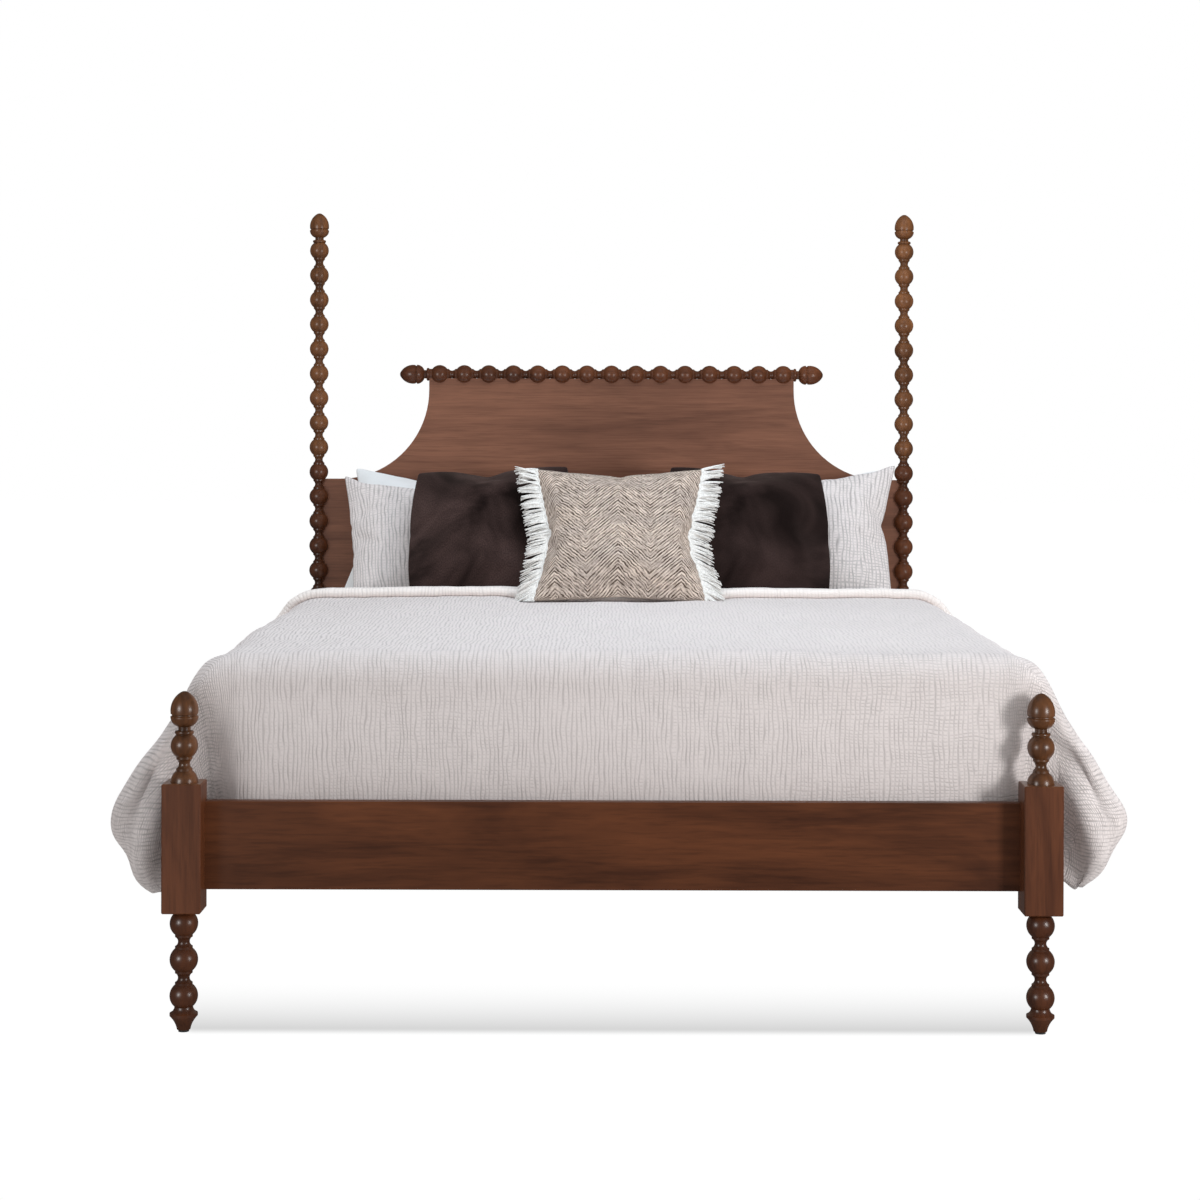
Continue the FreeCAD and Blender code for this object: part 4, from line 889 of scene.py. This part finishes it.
class BED_OT_duvet(bpy.types.Operator):
    """Gauze duvet: turned back at the head, hanging over the sides, tucked in at the foot"""
    bl_idname = "bed.duvet"
    bl_label = "Duvet"
    # How far the low end is drawn in, how far before the turn the under side runs straight, the corners' folds,
    # and the dent's fade across and along the bed.
    tuck_in, straight_before = 0.012, 0.02
    fold_depth, fold_sink, fold_count = 0.013, 0.008, 17
    dent_across, dent_along = (0.21, 0.31), (0.035, 0.13)

    def execute(self, context):
        settings = context.scene.bed_cloth
        form = DuvetForm(settings)
        rows = duvet_rows(form)
        piece, column, row, outside = layered_grid("duvet_gauze", COLUMNS, len(rows) - 1)
        across = (np.arange(COLUMNS + 1) / COLUMNS * 2 - 1) * (form.edge_x + SKIRT)
        grid, normal = self.surface(form, rows, across)
        outer = self.outer_side(form, rows, grid, normal)
        inner = self.inner_side(form, rows, grid, normal)
        move_points(piece, np.where(outside[:, None], outer[row, column], inner[row, column]))
        along = lengths_along(outer[:, COLUMNS // 2])
        set_uv(piece, across[column], along[row])
        self.open_rail_slots(piece, form, outside)
        turn = along[np.nonzero(rows[:, 2] > 0)[0][0]]
        # Depth sets how dark the painted shade in the pleats' valleys is.
        material = gauze("duvet_gauze", settings.gauze, pitch=0.0086, depth=0.29, edge=along[FOOT_ROWS],
                         turn=turn, lining=settings.lining)
        finish_piece(piece, material, ROOT, ["duvet"])
        return {"FINISHED"}

    def surface(self, form, rows, across):
        """The duvet's smooth surface as a grid of points, slightly crowned, and its normals."""
        grid = np.empty((len(rows), len(across), 3))
        for number, (y, down, _) in enumerate(rows):
            if down > 0:
                grid[number] = form.corner_point(across, np.full_like(across, down))
            else:
                grid[number] = form.side_point(across, np.full_like(across, y))
        forward = np.gradient(grid, axis=0)
        forward[FOOT_ROWS:] = (0, 1, 0)
        normal = np.cross(np.gradient(grid, axis=1), forward)
        normal /= np.maximum(np.linalg.norm(normal, axis=2), TINY)[:, :, None]
        crown = CROWN * (1 - np.clip(np.abs(across) / form.edge_x, 0, 1) ** 2)
        fade = np.clip(1 - rows[:, 1] * 5, 0, 1)
        grid[:, :, 2] += fade[:, None] * crown
        return grid, normal

    def outer_side(self, form, rows, grid, normal):
        """The upper side, with the filling's bumps, the corners' folds and the cushion's dent."""
        down = np.repeat(rows[:, 1], grid.shape[1])
        bumps = duvet_bumps(grid.reshape(-1, 3), down).reshape(grid.shape[:2])
        ease = np.clip((np.arange(len(rows)) - FOOT_ROWS) / 14, 0, 1)[:, None]
        bumps = np.where(bumps > 0, bumps * ease, bumps)
        dent = self.dent(grid)
        bumps = bumps * (1 - 0.85 * dent) - DENT * dent + self.drape(grid, form)
        outer = grid + normal * (bumps + rows[:, 2:])[:, :, None]
        foot = outer[:FOOT_ROWS]
        low_end = smooth_step(form.top - foot[:, :, 2], 0.13, 0.27)
        between = 1 - smooth_step(np.abs(foot[:, :, 0]), POST_X + 0.03, POST_X + 0.085)
        foot[:, :, 1] += self.tuck_in * low_end * between
        outer[:, :, 1] = np.maximum(outer[:, :, 1], form.foot_y)
        return outer

    def inner_side(self, form, rows, grid, normal):
        """The under side, which runs straight on below the turn-back."""
        inner = grid - normal * (form.thickness - CLOTH_GAP)
        last = np.nonzero(rows[:, 0] < form.turn_y - self.straight_before)[0].max()
        steps = np.linspace(0, 1, len(rows) - last)
        for number in range(last + 1, len(rows)):
            inner[number] = inner[last]
            inner[number, :, 1] = grid[last, :, 1] + (rows[-1, 0] - rows[last, 0]) * steps[number - last]
        return inner

    def drape(self, grid, form):
        """Folds that fan out and down from the two foot corners."""
        x, y, z = np.abs(grid[:, :, 0]), grid[:, :, 1], grid[:, :, 2]
        away, below = x - POST_X + 0.03, form.top - 0.06 - z
        fan = np.arctan2(away, np.maximum(below, 0.01)) + 0.25 * (grid[:, :, 0] > 0)
        near = smooth_step(x, POST_X + 0.03, POST_X + 0.07)
        near = near * (1 - smooth_step(x, POST_X + 0.10, POST_X + 0.17))
        near = near * smooth_step(below, 0.08, 0.18) * (1 - smooth_step(y, form.edge_y, form.edge_y + 0.15))
        return near * (self.fold_depth * np.cos(fan * self.fold_count + 0.6) - self.fold_sink)

    def dent(self, grid):
        """Where the woven cushion presses into the duvet, from 0 to 1."""
        x, y, _ = low_edge("woven_cushion", WOVEN.height)
        near = 1 - smooth_step(np.abs(grid[:, :, 0] - x), *self.dent_across)
        return near * (1 - smooth_step(np.abs(grid[:, :, 1] - y), *self.dent_along))

    def open_rail_slots(self, piece, form, outside):
        """Open the foot end where the side rails pass, and join its two layers along the cut."""
        mesh = piece.data
        layer = mesh.attributes.new("layer", "INT", "POINT")
        layer.data.foreach_set("value", outside.astype(np.int32))
        only(piece)
        bpy.ops.object.mode_set(mode="EDIT")
        bpy.ops.mesh.select_mode(type="FACE")
        bpy.ops.mesh.select_all(action="DESELECT")
        bpy.ops.object.mode_set(mode="OBJECT")
        for face in mesh.polygons:
            x, y, z = face.center
            low = y < form.edge_y - SLOT_BEFORE and z < RAIL_TOP + SLOT_ROOM
            face.select = bool(low and SLOT_FROM < abs(x) < SLOT_TO)
        bpy.ops.object.mode_set(mode="EDIT")
        bpy.ops.mesh.delete(type="FACE")
        bpy.ops.mesh.select_mode(type="EDGE")
        for side in SIDES.values():
            bpy.ops.mesh.select_all(action="DESELECT")
            bpy.ops.mesh.select_non_manifold()
            bpy.ops.object.mode_set(mode="OBJECT")
            layers = mesh.attributes["layer"].data
            for edge in mesh.edges:
                first, second = edge.vertices
                same = layers[first].value == layers[second].value
                edge.select = edge.select and same and mesh.vertices[first].co.x * side > 0
            bpy.ops.object.mode_set(mode="EDIT")
            bpy.ops.mesh.bridge_edge_loops()
        bpy.ops.mesh.select_mode(type="VERT")
        bpy.ops.object.mode_set(mode="OBJECT")
        mesh.attributes.remove(mesh.attributes["layer"])


class Cushion(NamedTuple):
    """A cushion's finished size, the cells of its sheets and its filling's pressure. Sides, top and low say
    how much of their straight cut those edges keep, and corner how far the corners are cut round."""
    width: float
    height: float
    thickness: float
    cells: int
    pressure: float
    sides: float
    top: float
    low: float = 0.97
    corner: float = 0.0


PILLOW = Cushion(0.7, 0.418, 0.11, cells=36, pressure=3.0, sides=0.5, top=0.4)
SHAM = Cushion(0.715, 0.43, 0.118, cells=40, pressure=2.4, sides=0.55, top=0.25)
VELVET = Cushion(0.424, 0.424, 0.13, cells=36, pressure=4.0, sides=0.92, top=0.62, corner=0.34)
WOVEN = Cushion(0.428, 0.398, 0.104, cells=40, pressure=3.2, sides=0.3, top=0.62, low=0.8)

# The cushions' cover cloth, the frames of its simulation, the seam between its two sheets, and the filling's
# lumps: their height, and how thick a cushion is where they are full.
COVER = {"quality": 5, "mass": 0.25, "tension_stiffness": 14, "compression_stiffness": 14,
         "shear_stiffness": 6, "bending_stiffness": 0.35, "air_damping": 1.5, "use_pressure": True}
FRAMES = 18
SEAM = 0.006
LUMPS, LUMPS_FULL = 0.003, 0.02


def inflate(piece, pressure):
    """Fill a sewn cover by a cloth simulation, and keep its last shape."""
    fill = piece.modifiers.new("Fill", "CLOTH")
    for key, given in COVER.items():
        setattr(fill.settings, key, given)
    fill.settings.uniform_pressure_force = pressure
    fill.settings.effector_weights.gravity = 0
    fill.point_cache.frame_start = 1
    fill.point_cache.frame_end = FRAMES
    for number in range(1, FRAMES + 1):
        bpy.context.scene.frame_set(number)
    apply_modifiers(piece)
    bpy.context.scene.frame_set(1)


def filled_cushion(name, form, seed=0):
    """Two sheets sewn together and filled, then brought to their finished size."""
    piece, column, row, front = layered_grid(name, form.cells, form.cells)
    size = np.array([form.width, form.thickness, form.height])
    share = np.column_stack((column, row)) / form.cells * 2 - 1
    share = share * np.sqrt(1 - form.corner * share[:, ::-1] ** 2 / 2)
    points = np.column_stack((share[:, 0] * form.width / 2, np.where(front, -SEAM, SEAM) / 2,
                              share[:, 1] * form.height / 2))
    cut = points.copy()
    move_points(piece, points)
    set_uv(piece, points[:, 0] * np.where(front, 1, -1), points[:, 2])
    edit_all(piece, bpy.ops.mesh.normals_make_consistent, inside=False)
    inflate(piece, form.pressure)
    points = points_of(piece)
    points -= (points.max(axis=0) + points.min(axis=0)) / 2
    points *= size / (points.max(axis=0) - points.min(axis=0))
    high = cut[:, 2] / (form.height / 2)
    level = np.where(high > 0, form.top, form.top - (form.low - form.top) * high)
    points[:, 0] += form.sides * (cut[:, 0] - points[:, 0])
    points[:, 2] += level * (cut[:, 2] - points[:, 2])
    full = np.clip(np.abs(points[:, 1]) / LUMPS_FULL, 0, 1)
    points[:, 1] += LUMPS * lattice_noise(points, 11.0, 60 + seed) * full
    points[:, 1] = np.clip(points[:, 1], -form.thickness / 2, form.thickness / 2)
    return piece, points, column, row


def low_edge(node, height):
    """The place of a leaning cushion's low edge, from its node's box."""
    return middle(node) - height / 2 * np.array([0, math.sin(LEAN), math.cos(LEAN)])


def lean_back(points, edge, lowest):
    """Lean points back on their low edge, given its place and their lowest height before."""
    turned = np.array(Matrix.Rotation(-LEAN, 3, "X"))
    return (points - np.array([0, 0, lowest])) @ turned.T + edge


def settle(points, floor, front_y=None, front_top=0.0, back_y=None):
    """Flatten a cushion where it rests, and hold it clear of what stands before and behind it."""
    points = points.copy()
    points[:, 2] = np.maximum(points[:, 2], floor)
    if front_y is not None:
        low = points[:, 2] < front_top
        points[low, 1] = np.maximum(points[low, 1], front_y)
    if back_y is not None:
        points[:, 1] = np.minimum(points[:, 1], back_y)
    return points


def shape_ears(points, form, side, out, drawn, rise, sink):
    """Pull a cushion's outer top corner out and up, draw its outer bottom corner in and sink its inner top
    corner."""
    across, high = points[:, 0] / (form.width / 2) * side, points[:, 2] / (form.height / 2)
    outer, inner = np.clip(across, 0, 1), np.clip(-across, 0, 1)
    upper, lower = np.clip(high, 0, 1), np.clip(-high, 0, 1)
    points[:, 0] += side * outer ** 2 * (out * upper ** 2 - drawn * lower)
    points[:, 2] += rise * outer ** 3 * upper ** 3 - sink * inner ** 3 * upper ** 2
    return points


def refine(piece):
    """Smooth a cushion's mesh once it is filled."""
    surface = piece.modifiers.new("Smooth", "SUBSURF")
    surface.levels = 1
    surface.render_levels = 1
    apply_modifiers(piece)


def rest_cushion(piece, points, node, form, **limits):
    """Lean a cushion back at its node's place, resting on the mattress."""
    placed = lean_back(points, low_edge(node, form.height), points[:, 2].min())
    move_points(piece, settle(placed, MATTRESS_HIGH[2] + REST_GAP, **limits))
    refine(piece)


class BED_OT_sleeping_pillows(bpy.types.Operator):
    """White sleeping pillows against the headboard"""
    bl_idname = "bed.sleeping_pillows"
    bl_label = "Sleeping pillows"
    # How far each pillow's outer bottom corner is drawn in.
    drawn = {"left": -0.018, "right": 0.0}

    def execute(self, context):
        material = cotton("pillow_cotton", context.scene.bed_cloth.cotton)
        for label, side in SIDES.items():
            node = "sleeping_pillow_" + label
            piece, points, *_ = filled_cushion("pillow_" + label, PILLOW, side + 4)
            points = shape_ears(points, PILLOW, side, out=0.004, drawn=self.drawn[label], rise=0.0, sink=0.03)
            rest_cushion(piece, points, node, PILLOW, back_y=PANEL_FRONT - REST_GAP)
            finish_piece(piece, material, ROOT, [node])
        return {"FINISHED"}


class BED_OT_shams(bpy.types.Operator):
    """Gauze shams in front of the sleeping pillows"""
    bl_idname = "bed.shams"
    bl_label = "Shams"
    # Each sham's ear: how far out, drawn in and up, and how far its upper half has sunk.
    ears = {"left": (0.014, 0.040, 0.004, 0.036), "right": (0.022, 0.016, 0.016, 0.0)}

    def execute(self, context):
        # Depth sets how dark the painted shade in the shams' pleats is.
        material = gauze("sham_gauze", context.scene.bed_cloth.gauze, pitch=0.0106, depth=0.54)
        for label, side in SIDES.items():
            node = "sham_" + label
            piece, points, *_ = filled_cushion("sham_gauze_" + label, SHAM, side + 9)
            out, drawn, rise, slack = self.ears[label]
            points = shape_ears(points, SHAM, side, out, drawn, rise, sink=0.04)
            points[:, 2] -= slack * smooth_step(points[:, 2] / (SHAM.height / 2), 0.0, 1.0)
            rest_cushion(piece, points, node, SHAM)
            finish_piece(piece, material, node + "_body", [node])
        return {"FINISHED"}


class BED_OT_velvet_cushions(bpy.types.Operator):
    """Dark velvet cushions in front of the shams"""
    bl_idname = "bed.velvet_cushions"
    bl_label = "Velvet cushions"
    # How strong each cushion's painted sheen and pile are, how far the tops are raised and tilted, and their
    # room to the duvet.
    painted_sheen_and_pile = {"left": 1.7, "right": 0.9}
    raised, tilted = 0.010, 0.012
    room_behind, room_above = 0.001, 0.004

    def execute(self, context):
        half = VELVET.height / 2
        for label, side in SIDES.items():
            node = "velvet_cushion_" + label
            material = velvet("brown_velvet_" + label, context.scene.bed_cloth.velvet, self.painted_sheen_and_pile[label])
            piece, points, *_ = filled_cushion("velvet_" + label, VELVET, side + 14)
            lift = smooth_step(points[:, 2] / half, -0.5, 1.0)
            points[:, 2] += (self.raised - self.tilted * side * points[:, 0] / half) * lift
            rest_cushion(piece, points, node, VELVET, front_y=DUVET_HIGH[1] + self.room_behind,
                         front_top=DUVET_HIGH[2] + self.room_above)
            finish_piece(piece, material, f"velvet_{label}_body", [node])
        return {"FINISHED"}


class BED_OT_woven_cushion(bpy.types.Operator):
    """Woven cushion in zigzag rows, with edging and a fringe on its short sides"""
    bl_idname = "bed.woven_cushion"
    bl_label = "Woven cushion"
    # Room to the duvet, over and before its turn-back and over its top, and the yarns of fringe and edging.
    room_over, room_before, room_under = 0.003, 0.0125, 0.0085
    yarn_radius, yarn_least, yarn_most = 0.0017, 0.05, 0.062
    yarn_root, yarn_wave, yarn_droop = 0.004, 0.0016, 0.012
    edging_radius, edging_twist, edging_pitch = 0.0025, 0.0019, 0.0075

    def execute(self, context):
        settings = context.scene.bed_cloth
        form = DuvetForm(settings)
        piece, points, column, row = filled_cushion("woven_zigzag", WOVEN)
        lowest = points[:, 2].min()
        seams = {label: self.seam(points, column, row, side) for label, side in SIDES.items()}
        move_points(piece, self.rest(points, lowest, form))
        refine(piece)
        material = herringbone("zigzag_weave", settings.weave_dark, settings.weave_light)
        finish_piece(piece, material, WOVEN_BODY, ["woven_cushion"])
        material = yarn("ivory_yarn", settings.fringe)
        for label, side in SIDES.items():
            fringe = self.fringe(label, side, seams[label], settings.strands)
            move_points(fringe, self.rest(points_of(fringe), lowest, form))
            finish_piece(fringe, material, WOVEN_BODY, ["fringe_" + label])
        return {"FINISHED"}

    def rest(self, points, lowest, form):
        """Lean points back in the duvet's dent, clear of its turn-back."""
        edge = low_edge("woven_cushion", WOVEN.height) - np.array([0, 0, DENT])
        placed = lean_back(points, edge, lowest)
        low = placed[:, 2] < DUVET_HIGH[2] + self.room_over
        placed[low, 1] = np.minimum(placed[low, 1], form.turn_y - self.room_before)
        return settle(placed, form.top + self.room_under - DENT)

    def seam(self, points, column, row, side):
        """The line of one side seam, from low to high."""
        edge = column == (column.max() if side > 0 else 0)
        return np.array([points[edge & (row == number)].mean(axis=0) for number in range(row.max() + 1)])

    def follow(self, seam, spots):
        """Places on a seam at lengths along it."""
        length = lengths_along(seam)
        return np.array([np.interp(spots, length, seam[:, axis]) for axis in range(3)]).T

    def strand(self, name):
        """A short round bar in seven lengths, the start of a yarn."""
        piece = start_piece(name, bpy.ops.mesh.primitive_cylinder_add, vertices=5, radius=1, depth=2)
        bpy.ops.object.mode_set(mode="EDIT")
        bpy.ops.mesh.select_all(action="DESELECT")
        bpy.ops.object.mode_set(mode="OBJECT")
        mesh = piece.data
        for edge in mesh.edges:
            first, second = (mesh.vertices[index].co for index in edge.vertices)
            edge.select = abs(first.z - second.z) > 1
        bpy.ops.object.mode_set(mode="EDIT")
        bpy.ops.mesh.subdivide(number_cuts=6)
        bpy.ops.object.mode_set(mode="OBJECT")
        return piece

    def yarns(self, strand, side, seam, count):
        """The points of every yarn: they hang out from the seam in clumps of four."""
        random = np.random.default_rng(41 + side)
        clumps = random.normal(0, 1, (count // 4 + 1, 2))
        whole = lengths_along(seam)[-1]
        along = (strand[:, 2] + 1) / 2
        thick = self.yarn_radius * (1 - 0.35 * along)
        placed = []
        for number in range(count):
            clump = clumps[number // 4]
            share = (number + random.uniform(-0.4, 0.4)) / (count - 1)
            root = self.follow(seam, np.clip(share, 0, 1) * whole)
            reach = random.uniform(self.yarn_least, self.yarn_most)
            spread = 0.5 * (2 * share - 1) + 0.13 * clump[0] + random.normal(0, 0.035) - 0.14
            forward = 0.16 * clump[1] + random.normal(0, 0.04)
            curl = random.uniform(0, 2 * math.pi)
            wave = self.yarn_wave * np.sin(along * random.uniform(5, 9) + curl) * along
            placed.append(np.column_stack((
                root[0] + side * (reach * along - self.yarn_root),
                root[1] + forward * reach * along ** 1.4 + strand[:, 1] * thick + wave,
                root[2] + spread * reach * along - self.yarn_droop * along ** 2 + strand[:, 0] * thick + wave,
            )))
        return placed

    def edging(self, seam, phase, steps=150, sides=6):
        """The points and faces of one of the two yarns that are twisted along a seam."""
        spots = np.linspace(0, lengths_along(seam)[-1], steps)
        twist = spots / self.edging_pitch + phase
        path = self.follow(seam, spots)
        path = path + self.edging_twist * np.column_stack((np.sin(twist), np.cos(twist), np.zeros(steps)))
        ring = np.linspace(0, 2 * math.pi, sides, endpoint=False)
        circle = np.stack((np.cos(ring), np.sin(ring), np.zeros(sides)), axis=1)
        tube = path[:, None, :] + self.edging_radius * circle[None]
        faces = []
        for step in range(steps - 1):
            for corner in range(sides):
                here, following = step * sides + corner, step * sides + (corner + 1) % sides
                faces.append((here, following, following + sides, here + sides))
        for step in (0, steps - 1):
            faces.append(tuple(step * sides + corner for corner in range(sides)))
        return tube.reshape(-1, 3), faces

    def fringe(self, label, side, seam, count):
        """Twisted edging along a side seam, and yarns that hang out from it."""
        piece = self.strand("fringe_yarn_" + label)
        mesh = piece.data
        strand = points_of(piece)
        strand_faces = [tuple(face.vertices) for face in mesh.polygons]
        sheets = self.yarns(strand, side, seam, count)
        faces = [tuple(index + len(strand) * number for index in face)
                 for number in range(count) for face in strand_faces]
        for phase in (0, math.pi):
            base = sum(len(sheet) for sheet in sheets)
            tube, tube_faces = self.edging(seam, phase)
            sheets.append(tube)
            faces += [tuple(base + index for index in face) for face in tube_faces]
        mesh.clear_geometry()
        mesh.from_pydata(np.concatenate(sheets).tolist(), [], faces)
        mesh.update()
        edit_all(piece, bpy.ops.mesh.normals_make_consistent, inside=False)
        return piece


class BED_OT_stage(bpy.types.Operator):
    """Pale floor, white room, four softboxes and the camera"""
    bl_idname = "bed.stage"
    bl_label = "Stage"
    # Each softbox's place, what it faces, its width and height, and its colour.
    softboxes = {
        "right": ((2.6, -3.2, 0.95), (0, 0, 0.7), (0.6, 0.8), (1, 1, 1)),
        "left": ((-4.0, -4.8, 0.9), (0, 0, 0.7), (0.6, 0.8), (1, 1, 1)),
        "glint": ((-3.3, -4.7, 1.3), (0, 0, 0.8), (1.1, 1.3), (1, 1, 1)),
        "top": ((0.3, -0.5, 3.4), (0, 0.1, 0.6), (3.0, 2.2), (0.76, 0.89, 1.0)),
    }
    # The camera's place across the bed, its roll, its frame's shift, and its sensor's width in millimetres.
    camera_x, camera_roll = -0.013, math.radians(-0.15)
    shift_across, shift_up, sensor_width = -0.0055, -0.1458, 36

    def execute(self, context):
        settings = context.scene.bed_stage
        self.floor()
        for name, form in self.softboxes.items():
            self.softbox(name, *form, getattr(settings, name + "_light"))
        self.room(context.scene, settings.sky)
        self.camera(context.scene, settings)
        context.scene.view_settings.view_transform = "Standard"
        return {"FINISHED"}

    def floor(self):
        """A white floor that glows evenly, with a painted shadow in its glow under the foot end."""
        piece = start_piece("floor", bpy.ops.mesh.primitive_plane_add, size=60, location=(0, 0, -0.0005))
        shader = Shader("floor_white")
        x, y, _ = shader.parts("Object")
        # Painted shadow: the glow dims between the legs under the foot end, darkest at its front edge and
        # fading back.
        back = shader.minus(y, FOOT_POST_Y)
        wide = shader.times(back, -0.175, shader.math("ABSOLUTE", x))
        far = shader.math("POWER", shader.span(back, 0.43, 0.03), 1.85)
        under = shader.times(far, shader.span(back, -0.028, 0.026, kind="SMOOTHSTEP"))
        under = shader.times(under, shader.span(wide, POST_X + 0.01, POST_X - 0.02, kind="SMOOTHSTEP"))
        glow = shader.times(under, -0.325, 1.005)
        white = shader.finish(Base_Color=(0, 0, 0, 1), Roughness=1.0, Specular_IOR_Level=0.0,
                              Emission_Color=(1, 1, 1, 1), Emission_Strength=glow)
        piece.data.materials.append(white)
        piece.visible_diffuse = False
        piece.visible_glossy = False

    def softbox(self, name, place, target, size, colour, power):
        """An area light that faces a target. The top one shows in no gloss, and the glint only there."""
        light = bpy.data.lights.new("softbox_" + name, "AREA")
        light.shape = "RECTANGLE"
        light.size, light.size_y = size
        light.energy = power
        light.color = colour
        lamp = bpy.data.objects.new("softbox_" + name, light)
        bpy.context.scene.collection.objects.link(lamp)
        lamp.location = place
        lamp.visible_glossy = name != "top"
        lamp.visible_diffuse = name != "glint"
        lamp.rotation_euler = (Vector(target) - Vector(place)).to_track_quat("-Z", "Y").to_euler()

    def room(self, scene, strength):
        """White all round; its light on the bed is softer than it looks, and dimmer in reflections."""
        world = bpy.data.worlds.new("white_room")
        scene.world = world
        world.use_nodes = True
        tree = world.node_tree
        ray = tree.nodes.new("ShaderNodeLightPath").outputs
        seen = self.white(tree.nodes["Background"], 1.0)
        lit = self.white(tree.nodes.new("ShaderNodeBackground"), strength)
        dim = self.white(tree.nodes.new("ShaderNodeBackground"), 0.15 * strength)
        lighting = self.choose(tree, ray["Is Glossy Ray"], lit, dim)
        picture = self.choose(tree, ray["Is Camera Ray"], lighting, seen)
        tree.links.new(picture, tree.nodes["World Output"].inputs["Surface"])

    def white(self, background, strength):
        """White light of one strength."""
        background.inputs["Color"].default_value = (1, 1, 1, 1)
        background.inputs["Strength"].default_value = strength
        return background.outputs[0]

    def choose(self, tree, test, otherwise, when):
        """One shader where a test of the ray holds, and another elsewhere."""
        mix = tree.nodes.new("ShaderNodeMixShader")
        for socket, given in zip(mix.inputs, (test, otherwise, when)):
            tree.links.new(given, socket)
        return mix.outputs[0]

    def camera(self, scene, settings):
        """The camera before the foot end, level, with the frame shifted down."""
        lens = bpy.data.cameras.new("camera")
        camera = bpy.data.objects.new("camera", lens)
        scene.collection.objects.link(camera)
        camera.location = (self.camera_x, settings.camera_y, settings.camera_z)
        camera.rotation_euler = (math.pi / 2, self.camera_roll, 0)
        lens.lens = settings.focal_length
        lens.sensor_width = self.sensor_width
        lens.shift_x = self.shift_across
        lens.shift_y = self.shift_up
        scene.camera = camera


class BED_PT_panel(bpy.types.Panel):
    """The bed's settings and steps"""
    bl_idname = "BED_PT_panel"
    bl_label = "Bed"
    bl_space_type = "VIEW_3D"
    bl_region_type = "UI"
    bl_category = "Bed"

    def draw(self, context):
        for name in GROUPS:
            group = getattr(context.scene, name)
            box = self.layout.box()
            for key in group.__annotations__:
                box.prop(group, key)
        for operator in STEPS:
            self.layout.operator(operator.bl_idname)


GROUPS = {"bed_wood": BedWoodSettings, "bed_cloth": BedClothSettings, "bed_stage": BedStageSettings}
STEPS = (BED_OT_frame_finishes, BED_OT_mattress, BED_OT_duvet, BED_OT_sleeping_pillows, BED_OT_shams,
         BED_OT_velvet_cushions, BED_OT_woven_cushion, BED_OT_stage)


def register():
    """Make the settings, steps and panel known."""
    for name, group in GROUPS.items():
        bpy.utils.register_class(group)
        setattr(bpy.types.Scene, name, PointerProperty(type=group))
    for step in STEPS:
        bpy.utils.register_class(step)
    bpy.utils.register_class(BED_PT_panel)


def unregister():
    """Take them away again."""
    bpy.utils.unregister_class(BED_PT_panel)
    for step in reversed(STEPS):
        bpy.utils.unregister_class(step)
    for name, group in GROUPS.items():
        delattr(bpy.types.Scene, name)
        bpy.utils.unregister_class(group)


def main():
    """Run every step in order."""
    register()
    bpy.ops.bed.frame_finishes()
    bpy.ops.bed.mattress()
    bpy.ops.bed.duvet()
    bpy.ops.bed.sleeping_pillows()
    bpy.ops.bed.shams()
    bpy.ops.bed.velvet_cushions()
    bpy.ops.bed.woven_cushion()
    bpy.ops.bed.stage()


if __name__ == "__main__":
    main()
